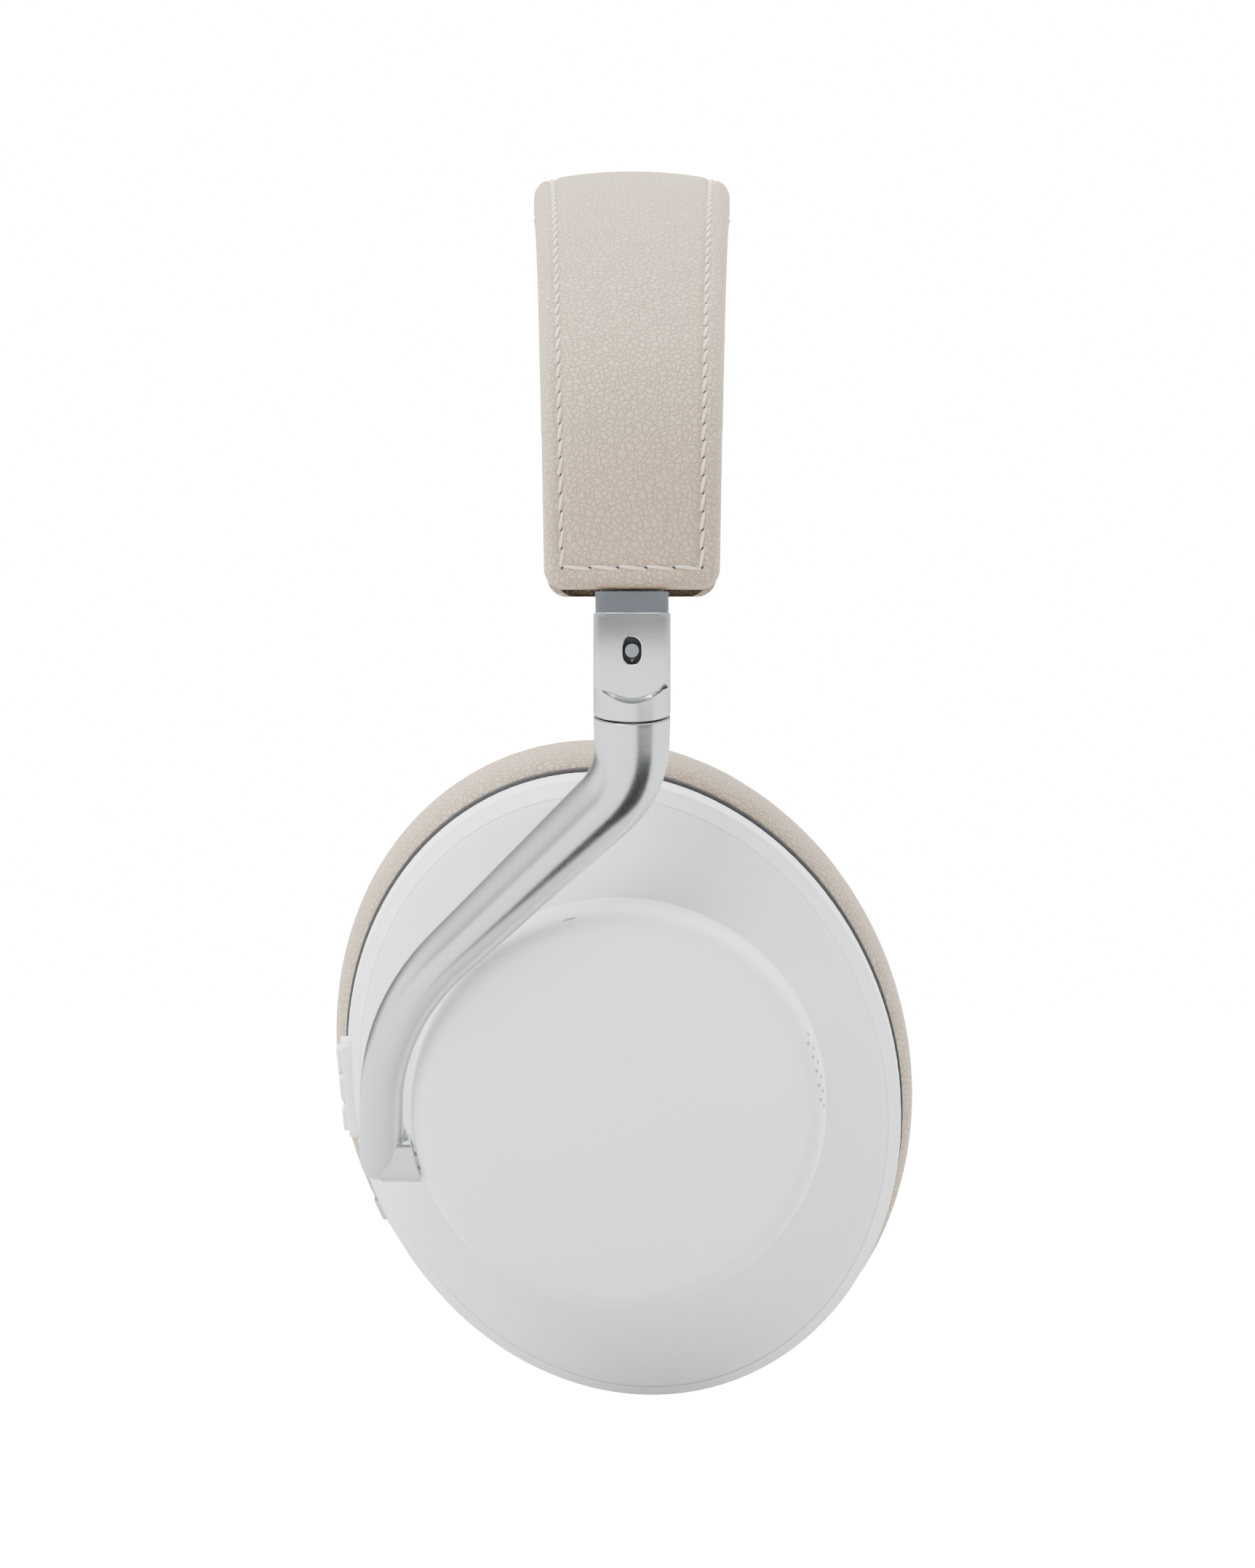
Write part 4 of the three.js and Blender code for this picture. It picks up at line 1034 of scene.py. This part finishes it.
def foot_shape(yoke):
    """The squared foot that reaches from the arm to the hub, flat underneath."""
    half = yoke.arm.foot_radius - 0.1 * MM
    rings = []
    for from_hub, inset in ((0.0, FOOT_BEVEL), (FOOT_BEVEL, 0.0), (None, 0.0)):
        ring = []
        for turn in around(40):
            radius = box_radius(turn, half - inset, half - inset, FOOT_CORNER)
            rise = radius * math.sin(turn)
            back = yoke.arm.reach if from_hub is None else foot_end(yoke, rise) + from_hub
            ring.append(yoke.place(yoke.pivot.x + radius * math.cos(turn), back, yoke.pivot.z + rise))
        rings.append(ring)
    return skin(rings)


def gusset_shape(yoke):
    """The faceted web in the corner between the arm and the foot."""
    x, z = yoke.pivot.x, yoke.pivot.z
    near, far = yoke.arm.reach - GUSSET_START, foot_end(yoke, GUSSET_BASE) + GUSSET_SHORT
    base, peak = z + GUSSET_BASE, z + GUSSET_RISE
    corners = [(x - GUSSET_WIDE, near, base), (x + GUSSET_WIDE, near, base),
               (x + GUSSET_NARROW, far, base), (x - GUSSET_NARROW, far, base),
               (x - GUSSET_NARROW, near, peak), (x + GUSSET_NARROW, near, peak)]
    faces = [(0, 3, 2, 1), (0, 1, 5, 4), (1, 2, 5), (0, 4, 3), (2, 3, 4, 5)]
    return [yoke.place(*corner) for corner in corners], faces


class HEADPHONES_OT_hinges(bpy.types.Operator):
    """Makes the hinge blocks with their screw windows, and the swivel rings"""
    bl_idname = "headphones.hinges"
    bl_label = "Hinges"

    def execute(self, context):
        yoke = Yoke()
        shape, window, ring = block_shape(yoke), window_shape(yoke), ring_shape(yoke)
        for side in SIDES:
            block = mesh_object(f"hinge_{side}", *of_side(shape, side), "aluminium")
            carve(block, of_side(window, side))
            # The neck's dark metal is painted shadow under the leather's end.
            block.data.materials.append(finish_of("gunmetal"))
            # The window's black is painted shade in its recess.
            block.data.materials.append(finish_of("plastic"))
            for face in block.data.polygons:
                face.material_index = block_finish(yoke, mirrored([face.center], side)[0])
            settle(block, f"slider_{side}", [f"hinge_block_{side}"])
            settle(mesh_object(f"collar_{side}", *of_side(ring, side), "aluminium"),
                   BODY_OF[f"swivel_ring_{side}"], [f"swivel_ring_{side}"])
        return {"FINISHED"}


class HEADPHONES_OT_arms(bpy.types.Operator):
    """Makes the bent metal arms and their feet"""
    bl_idname = "headphones.arms"
    bl_label = "Arms"

    def execute(self, context):
        yoke = Yoke()
        shape = joined(arm_shape(yoke), foot_shape(yoke), gusset_shape(yoke))
        for side in SIDES:
            settle(mesh_object(f"bent_arm_{side}", *of_side(shape, side), "aluminium"),
                   f"yoke_{side}", [f"arm_{side}"])
        return {"FINISHED"}


# ------------------------------------------------------------------ cups

LIP_ROUND = 1.2 * MM
LIP_INSET = 0.9 * MM
RIM_EDGE = 0.7 * MM
# A black ring, painted shadow along the gap between the shell and the pad: how far it stands proud of the
# shell and how far it laps onto the pad.
SHADOW_RING_PROUD = 0.35 * MM
SHADOW_RING_LAP = 0.6 * MM

def shell_shape(yoke):
    """The cup's shell: a rounded lip, a straight rim, a sloping band and a cone up to the hub."""
    cup = yoke.cup
    cone = cup.rim_depth + cup.chamfer
    top = cup.top_depth
    inner_top = top - cup.wall
    rings = [yoke.hub_circle(inner_top, cup.hub_radius / 3),
             yoke.hub_circle(inner_top, cup.hub_radius - cup.chamfer),
             yoke.shell_oval(cone - cup.wall, cup.chamfer + cup.wall / 2),
             yoke.shell_oval(cup.rim_depth - cup.wall, cup.wall),
             yoke.shell_oval(cup.lip_depth, cup.wall)]
    for turn in spread(6, 0, math.pi / 2):
        rings.append(yoke.shell_oval(cup.lip_depth + LIP_ROUND * (1 - math.cos(turn)),
                                     LIP_INSET * (1 - math.sin(turn))))
    for turn in spread(6, 0, math.radians(55)):
        rings.append(yoke.shell_oval(cup.rim_depth - RIM_EDGE + RIM_EDGE * math.sin(turn),
                                     RIM_EDGE * (1 - math.cos(turn))))
    low = yoke.shell_oval(cone, cup.chamfer)
    before = rings[-1]
    rings += [[a.lerp(b, share) for a, b in zip(before, low)] for share in (0.3, 0.85)]
    high = yoke.hub_circle(top, cup.hub_radius - cup.wall / 2)
    rings.append([a.lerp(b, 0.55).lerp(a.lerp(c, 0.02), 0.5) for a, b, c in zip(low, before, high)])
    for share in (0.035, 0.12, 0.3, 0.5, 0.7, 0.88):
        rings.append([a.lerp(b, share) for a, b in zip(low, high)])
    for share, lift in ((0.95, 0.1), (0.985, 0.3)):
        rings.append([a.lerp(b, share) + yoke.out * lift * MM for a, b in zip(low, high)])
    rings += [high, yoke.hub_circle(top, cup.hub_radius / 3)]
    return skin(rings, looped=True)


def gasket_shape(yoke):
    """A black ring at the pad's ring, just proud of the shell's edge: painted shadow, the dark line of the
    gap between the shell and the pad.
    """
    cup = yoke.cup
    start = cup.pad_depth - SHADOW_RING_LAP
    levels = ((start, cup.wall), (start, -SHADOW_RING_PROUD), (cup.lip_depth, -SHADOW_RING_PROUD),
              (cup.lip_depth, cup.wall))
    return skin([yoke.shell_oval(depth, inset) for depth, inset in levels], looped=True)


def rim_place(yoke, turn):
    """Places a point by how far it stands out of the rim, towards the pad and along the rim."""
    cup = yoke.cup
    up, back = math.cos(turn), math.sin(turn)
    lean = cup.turn

    def leaned(along, beside):
        return Vector((0, along * math.sin(lean) + beside * math.cos(lean),
                       along * math.cos(lean) - beside * math.sin(lean)))

    middle = leaned(cup.shell_long * up, cup.shell_short * back)
    normal = leaned(up / cup.shell_long, back / cup.shell_short).normalized()
    tangent = Vector((0, -normal.z, normal.y))

    def place(out, across, along):
        point = middle + normal * out + tangent * along
        return yoke.in_cup(cup.control_depth - across, point.y, point.z)

    return place


def plate_shape(place, across, along, corner, levels, shift=0.0, sides=40):
    """A rounded plate on the rim, with an outline for each level: how far out and how far inset."""
    rings = []
    for out, inset in levels:
        ring = []
        for turn in around(sides):
            radius = box_radius(turn, along / 2 - inset, across / 2 - inset, max(corner - inset, 0.1 * MM))
            ring.append(place(out, radius * math.sin(turn), shift + radius * math.cos(turn)))
        rings.append(ring)
    return skin(rings)


def domed(low, high, edge):
    """Levels of a plate from its back to a face with a rounded edge."""
    bends = spread(6, 0, math.pi / 2)[1:]
    return [(low, 0.0), (high - edge, 0.0)] + [
        (high - edge + edge * math.sin(turn), edge * (1 - math.cos(turn))) for turn in bends]


# Where the controls stand round the rim, in degrees from the top towards the rear.
CONTROLS = {"panel": 75, "switch": 98, "light": 107.5, "port": 117}
# Width across the rim, length along it, corner radius and sides of the openings in it.
PANEL_OPENING = (5.2 * MM, 16.6 * MM, 1 * MM, 40)
SIDE_OPENINGS = {"switch": (2.8 * MM, 8.6 * MM, 0.8 * MM, 40), "port": (3.8 * MM, 9.6 * MM, 1.85 * MM, 40),
                 "light": (2 * MM, 2 * MM, 0.98 * MM, 24)}
PANEL = (4.6 * MM, 16 * MM, 1 * MM)
KNOB = (2.2 * MM, 4 * MM, 0.7 * MM)
BUTTON_WIDTH = 3.2 * MM
BUTTON_GAP = 0.3 * MM
BUTTON_PITCH = 4.9 * MM
BUTTONS = {
    "right": (("volume_up_button", BUTTON_PITCH, 4 * MM), ("play_button", 0.0, 4 * MM),
              ("volume_down_button", -BUTTON_PITCH, 4 * MM)),
    "left": (("quick_button", 0.0, 2 * BUTTON_PITCH),),
}


def control_place(yoke, name):
    return rim_place(yoke, math.radians(CONTROLS[name]))


def rim_openings(yoke, side):
    openings = {"panel": PANEL_OPENING, **(SIDE_OPENINGS if side == "right" else {})}
    deep = [(-6 * MM, 0.0), (5 * MM, 0.0)]
    return [of_side(plate_shape(control_place(yoke, name), *outline, deep, sides=sides), side)
            for name, (*outline, sides) in openings.items()]


CAP_BEVEL = 0.3 * MM


def cap_shape(yoke):
    """The round hub cap: a straight wall, a soft edge and a level face."""
    cup = yoke.cup
    bottom = cup.top_depth + yoke.arm.gap
    top = bottom + cup.hub_height
    inner = cup.hub_radius - cup.hub_wall
    rings = [yoke.hub_circle(depth, radius) for depth, radius in (
        (top - cup.hub_wall, inner * 0.4), (top - cup.hub_wall, inner * 0.9),
        (top - cup.hub_wall * 1.8, inner), (bottom, inner), (bottom, cup.hub_radius - CAP_BEVEL),
        (bottom + CAP_BEVEL, cup.hub_radius))]
    for turn in spread(14, 0, math.pi / 2):
        rings.append(yoke.hub_circle(top - cup.hub_fillet * (1 - math.sin(turn)),
                                     cup.hub_radius - cup.hub_fillet * (1 - math.cos(turn))))
    rings += [yoke.hub_circle(top, cup.hub_radius * share) for share in (0.8, 0.6, 0.4, 0.2, 0.03)]
    return skin(rings)


MIC_HOLES = 11
MIC_RADIUS = 0.34 * MM
MIC_STAGGER = 0.42 * MM
VENT_HALF_LONG, VENT_HALF_WIDE = 1.1 * MM, 0.27 * MM
PIN_HOLE = 2.6 * MM
ON_FILLET = math.radians(33)


def cap_openings(yoke):
    """The zigzag of microphone holes in front, the vent slit on top and the hole for the tilt pin."""
    cup = yoke.cup
    top = cup.top_depth + yoke.arm.gap + cup.hub_height

    def bore(turn, along_rim, along_face, shift=0.0):
        """A straight bore into the soft edge, this angle above the front."""
        face = Vector((0, -math.cos(turn), math.sin(turn)))
        beside = Vector((0, math.sin(turn), math.cos(turn)))
        radius = cup.hub_radius - cup.hub_fillet * (1 - math.cos(ON_FILLET))
        depth = top - cup.hub_fillet * (1 - math.sin(ON_FILLET))
        rings = []
        for reach in (-1.1 * MM, 1.2 * MM):
            ring = []
            for bend in around(14):
                slope = shift + along_face * math.sin(bend)
                flat = face * (radius + reach * math.cos(ON_FILLET) - slope * math.sin(ON_FILLET))
                flat += beside * along_rim * math.cos(bend)
                ring.append(yoke.in_cup(depth + reach * math.sin(ON_FILLET) + slope * math.cos(ON_FILLET),
                                        cup.hub_rear + flat.y, cup.hub_rise + flat.z))
            rings.append(ring)
        return skin(rings)

    holes = [bore(math.radians(turn), MIC_RADIUS, MIC_RADIUS, MIC_STAGGER if index % 2 else -MIC_STAGGER)
             for index, turn in enumerate(spread(MIC_HOLES, 1.5, 22.5))]
    holes.append(bore(math.radians(104), VENT_HALF_LONG, VENT_HALF_WIDE))
    pin = [[yoke.in_cup(cup.pivot_depth + PIN_HOLE * math.cos(turn), back,
                        PIN_HOLE * math.sin(turn) - cup.pivot_drop) for turn in around(32)]
           for back in (cup.hub_radius * 0.5, cup.hub_radius + 6 * MM)]
    return [joined(*holes), skin(pin)]


class HEADPHONES_OT_shells(bpy.types.Operator):
    """Makes the lacquered shells and the round hub caps with their holes"""
    bl_idname = "headphones.shells"
    bl_label = "Shells and hubs"

    def execute(self, context):
        yoke = Yoke()
        shape, cap_form, shadow_ring = shell_shape(yoke), cap_shape(yoke), gasket_shape(yoke)
        for side in SIDES:
            # A black ring as painted shadow along the gap between the shell and the pad.
            settle(mesh_object(f"gasket_{side}", *of_side(shadow_ring, side), "plastic"), f"cup_{side}")
            shell = mesh_object(f"shell_{side}", *of_side(shape, side), "lacquer")
            carve(shell, *rim_openings(yoke, side))
            settle(shell, f"cup_{side}", [f"cup_shell_{side}"], SHELL_SHARP)
            cap = mesh_object(f"hub_{side}", *of_side(cap_form, side), "lacquer")
            carve(cap, *(of_side(tool, side) for tool in cap_openings(yoke)))
            settle(cap, f"cup_{side}", [f"hub_cap_{side}"])
        return {"FINISHED"}


class HEADPHONES_OT_controls(bpy.types.Operator):
    """Makes the control panels, the buttons and the switch on the rims"""
    bl_idname = "headphones.controls"
    bl_label = "Controls"

    def execute(self, context):
        yoke = Yoke()
        place = control_place(yoke, "panel")
        for side in SIDES:
            shape = plate_shape(place, *PANEL, domed(-1.9 * MM, 0.7 * MM, 0.35 * MM))
            panel = mesh_object(f"panel_{side}", *of_side(shape, side), "lacquer")
            for name, shift, height in BUTTONS[side]:
                tool = plate_shape(place, BUTTON_WIDTH + 2 * BUTTON_GAP, height + 2 * BUTTON_GAP, 0.8 * MM,
                                   [(-5 * MM, 0.0), (5 * MM, 0.0)], shift)
                carve(panel, of_side(tool, side))
                button = plate_shape(place, BUTTON_WIDTH, height, 0.7 * MM,
                                     domed(-0.7 * MM, 1.5 * MM, 0.45 * MM), shift)
                settle(mesh_object(f"{name}_cap", *of_side(button, side), "lacquer"), name,
                       [name])
            settle(panel, f"cup_{side}", [f"control_panel_{side}"])
        knob = plate_shape(control_place(yoke, "switch"), *KNOB, domed(-1.8 * MM, 0.8 * MM, 0.4 * MM))
        settle(mesh_object("switch_knob", *of_side(knob, "right"), "aluminium"), "mode_switch",
               ["mode_switch"])
        return {"FINISHED"}


# ------------------------------------------------------------------ ear pads

PAD_SQUARENESS = 0.72
PAD_GIVE = 1.1 * MM
# Depth, place and spread of the seams round the pad's section, the last two as angles.
PAD_SEAMS = ((1.1 * MM, math.radians(66), 0.1), (0.5 * MM, math.radians(232), 0.06))


def pad_shape(yoke):
    """The pad as a soft rounded square bent round the oval, drawn in where its seams run."""
    cup = yoke.cup
    half = cup.pad_depth / 2

    def soften(value):
        return math.copysign(abs(value) ** PAD_SQUARENESS, value)

    rings = []
    for bend in around(72):
        across, deep = soften(math.cos(bend)), soften(math.sin(bend))
        seam = sum(deep_in * math.exp(-((bend - place) / reach) ** 2)
                   for deep_in, place, reach in PAD_SEAMS)
        pull = math.copysign(seam, math.cos(bend))
        long = mix(cup.opening_long, cup.pad_long, (across + 1) / 2) - pull
        short = mix(cup.opening_short, cup.pad_short, (across + 1) / 2) - pull
        rings.append(yoke.oval(half + half * deep, long, short, count=160))
    return skin(rings, looped=True)


class HEADPHONES_OT_pads(bpy.types.Operator):
    """Makes the leather ear pads"""
    bl_idname = "headphones.pads"
    bl_label = "Ear pads"

    def execute(self, context):
        yoke = Yoke()

        def sewn(point):
            """Held at the back, where the pad rests on its ring."""
            depth = (point - yoke.cup_origin).dot(yoke.out)
            return smooth((depth / yoke.cup.pad_depth - 0.72) / 0.12)

        shape = plumped(*pad_shape(yoke), PAD_GIVE, sewn)
        for side in SIDES:
            pad = mesh_object(f"ear_cushion_{side}", *of_side(shape, side), "leather")
            settle(pad, f"cup_{side}", [f"ear_pad_{side}"], LEATHER_SHARP)
        return {"FINISHED"}


# ------------------------------------------------------------------ finishes of the carried-over pieces

BODY_OF = {node: body for body, nodes in frame["record"]["behaviour"]["bodies"].items() for node in nodes}
NODES_OF = {
    "steel": ("headband_spring", "slider_strip", "swivel_pin", "tilt_pin", "driver_frame",
              "driver_magnet", "charging_port"),
    "plastic": ("slider_housing", "hub_carrier", "pad_ring", "baffle", "battery", "volume_up_button",
                "play_button", "volume_down_button", "quick_button"),
    "gunmetal": ("hinge_screw",),
    "cloth": ("driver_diaphragm", "driver_grille"),
    "board": ("circuit_board",),
    "light": ("status_light",),
    "leather": ("headband_cover", "headband_cushion", "ear_pad"),
    "aluminium": ("hinge_block", "swivel_ring", "arm", "control_panel", "mode_switch"),
    "lacquer": ("cup_shell", "hub_cap"),
}
NODE_FINISHES = {node: finish for finish, nodes in NODES_OF.items() for node in nodes}


class HEADPHONES_OT_finishes(bpy.types.Operator):
    """Gives every carried-over piece its procedural finish"""
    bl_idname = "headphones.finishes"
    bl_label = "Finishes"

    def execute(self, context):
        for node in BODY_OF:
            kind = node.removesuffix("_left").removesuffix("_right")
            for slot in bpy.data.objects[node].material_slots:
                slot.link = "OBJECT"
                slot.material = finish_of(NODE_FINISHES[kind])
        return {"FINISHED"}


# ------------------------------------------------------------------ stage

def area_light(name, place, width, power):
    data = bpy.data.lights.new(name, "AREA")
    data.size = width
    data.energy = power
    lamp = bpy.data.objects.new(name, data)
    lamp.location = place
    lamp.rotation_euler = (Vector(AIM) - Vector(place)).to_track_quat("-Z", "Y").to_euler()
    bpy.context.scene.collection.objects.link(lamp)
    return lamp


# Brightness of the studio's walls round the compass, from the camera's side by the front to the far side
# and back by the rear: soft boxes at both sides with darker gaps between them.
WALLS = ((-1.0, 0.45), (-0.9, 0.45), (-0.75, 0.8), (-0.6, 1.5), (-0.45, 1.6), (-0.34, 0.5),
         (-0.2, 0.1), (-0.1, 0.6), (0.1, 0.6), (0.2, 0.1), (0.34, 0.6), (0.45, 2.2), (0.6, 2.2),
         (0.75, 1.0), (0.9, 0.45), (1.0, 0.45))
BACKDROP = 16.0
CEILING = 0.9
CEILING_START, CEILING_END = 0.3, 0.7
# Brightness of the soft light on matt surfaces, from the camera's side to the far side.
WRAP = ((0.0, 0.25), (0.48, 0.35), (0.6, 9.0), (1.0, 11.0))


def studio_world():
    world = bpy.data.worlds.new("studio")
    nodes = Nodes(world)
    nodes.tree.nodes.clear()
    axes = nodes.tree.nodes.new("ShaderNodeSeparateXYZ")
    nodes.put(axes.inputs[0], nodes.coordinates("Generated"))
    x, y, z = (Value(nodes, socket) for socket in axes.outputs)
    compass = y.math("ARCTAN2", y, x) * (0.5 / math.pi) + 0.5
    brightest = max(shade for stop, shade in WALLS)
    walls = nodes.ramp(compass, *((stop / 2 + 0.5, shade / brightest) for stop, shade in WALLS)) * brightest
    high = nodes.ramp(z, (CEILING_START, 0.0), (CEILING_END, 1.0))
    seen = nodes.node("ShaderNodeLightPath", output="Is Camera Ray")
    mirrored_in = nodes.node("ShaderNodeLightPath", output="Is Glossy Ray")
    widest = max(shade for stop, shade in WRAP)
    wrap = nodes.ramp(x * 0.5 + 0.5, *((stop, shade / widest) for stop, shade in WRAP)) * widest
    glossy = (walls * (1 - high) + CEILING * high) * mirrored_in
    strength = glossy + wrap * (1 - mirrored_in) * (1 - seen) + BACKDROP * seen
    background = nodes.node("ShaderNodeBackground", Color=(1, 1, 1, 1), Strength=strength)
    nodes.node("ShaderNodeOutputWorld", output=None, Surface=background)
    return world


CARD_CORNERS = ((-0.13, 0.02), (-0.3, -0.075), (-0.2, -0.29), (-0.08, -0.1))
CARD_HEIGHT = 0.5 * MM


def dark_card():
    """A black card on the floor that only shows in glossy surfaces, as the dark streak along the arm."""
    card = mesh_object("dark_card", [(*corner, CARD_HEIGHT) for corner in CARD_CORNERS], [(0, 1, 2, 3)],
                       "flock")
    card.visible_camera = False
    card.visible_diffuse = False
    card.visible_shadow = False


# The lamps are aimed at this point: each has its place, its width and its power in watts.
AIM = (0, 0, 0.1)
KEY = ((-0.95, 0.72, 1.15), 1.0, 48)
TOP = ((-0.1, 0.0, 1.6), 1.0, 8)
SHEEN = ((-0.1, 0.25, 1.6), 1.1, 40)
# Where the view's height is measured, as a share of the way to the near side, and the view's middle
# behind the band's.
NEAR_SIDE = 0.7
VIEW_REAR = 0.7 * MM


class HEADPHONES_OT_stage(bpy.types.Operator):
    """Makes the floor, the soft studio light and the camera"""
    bl_idname = "headphones.stage"
    bl_label = "Stage"

    def execute(self, context):
        sizes = context.scene.headphone_stage
        half = sizes.floor_size / 2
        corners = [(x * half, y * half, 0) for x, y in ((-1, -1), (1, -1), (1, 1), (-1, 1))]
        floor = mesh_object("floor", corners, [(0, 1, 2, 3)], "floor")
        dark_card()
        area_light("key", *KEY).visible_glossy = False
        area_light("top", *TOP)
        area_light("sheen", *SHEEN).visible_diffuse = False
        context.scene.world = studio_world()
        data = bpy.data.cameras.new("camera")
        data.lens = sizes.lens
        data.clip_end = 30
        camera = bpy.data.objects.new("camera", data)
        distance = sizes.lens / data.sensor_width * sizes.frame_height
        near_side = CAD_BOX[0][0] * NEAR_SIDE
        middle_y = JOINTS["swivel_left"]["pos_m"][1] + VIEW_REAR
        camera.location = (near_side - distance, middle_y, sizes.frame_height / 2 - sizes.frame_bottom)
        camera.rotation_euler = (math.pi / 2, 0, -math.pi / 2)
        context.scene.collection.objects.link(camera)
        context.scene.camera = camera
        return {"FINISHED"}


# ------------------------------------------------------------------ panel and start

OPERATORS = (HEADPHONES_OT_finishes, HEADPHONES_OT_headband, HEADPHONES_OT_hinges, HEADPHONES_OT_arms,
             HEADPHONES_OT_shells, HEADPHONES_OT_controls, HEADPHONES_OT_pads, HEADPHONES_OT_stage)
GROUPS = {"headphone_band": BandSizes, "headphone_arm": ArmSizes, "headphone_cup": CupSizes,
          "headphone_finishes": Finishes, "headphone_stage": StageSizes}


class HEADPHONES_PT_panel(bpy.types.Panel):
    bl_idname = "HEADPHONES_PT_panel"
    bl_label = "Headphones"
    bl_space_type = "VIEW_3D"
    bl_region_type = "UI"
    bl_category = "Headphones"

    def draw(self, context):
        for operator in OPERATORS:
            self.layout.operator(operator.bl_idname)
        for name, group in GROUPS.items():
            box = self.layout.box()
            for setting in group.__annotations__:
                box.prop(getattr(context.scene, name), setting)


def register():
    for made in (*GROUPS.values(), *OPERATORS, HEADPHONES_PT_panel):
        bpy.utils.register_class(made)
    for name, group in GROUPS.items():
        setattr(bpy.types.Scene, name, PointerProperty(type=group))


def unregister():
    for name in GROUPS:
        delattr(bpy.types.Scene, name)
    for made in reversed((*GROUPS.values(), *OPERATORS, HEADPHONES_PT_panel)):
        bpy.utils.unregister_class(made)


def main():
    register()
    for operator in OPERATORS:
        group, name = operator.bl_idname.split(".")
        getattr(getattr(bpy.ops, group), name)()


if __name__ == "__main__":
    main()
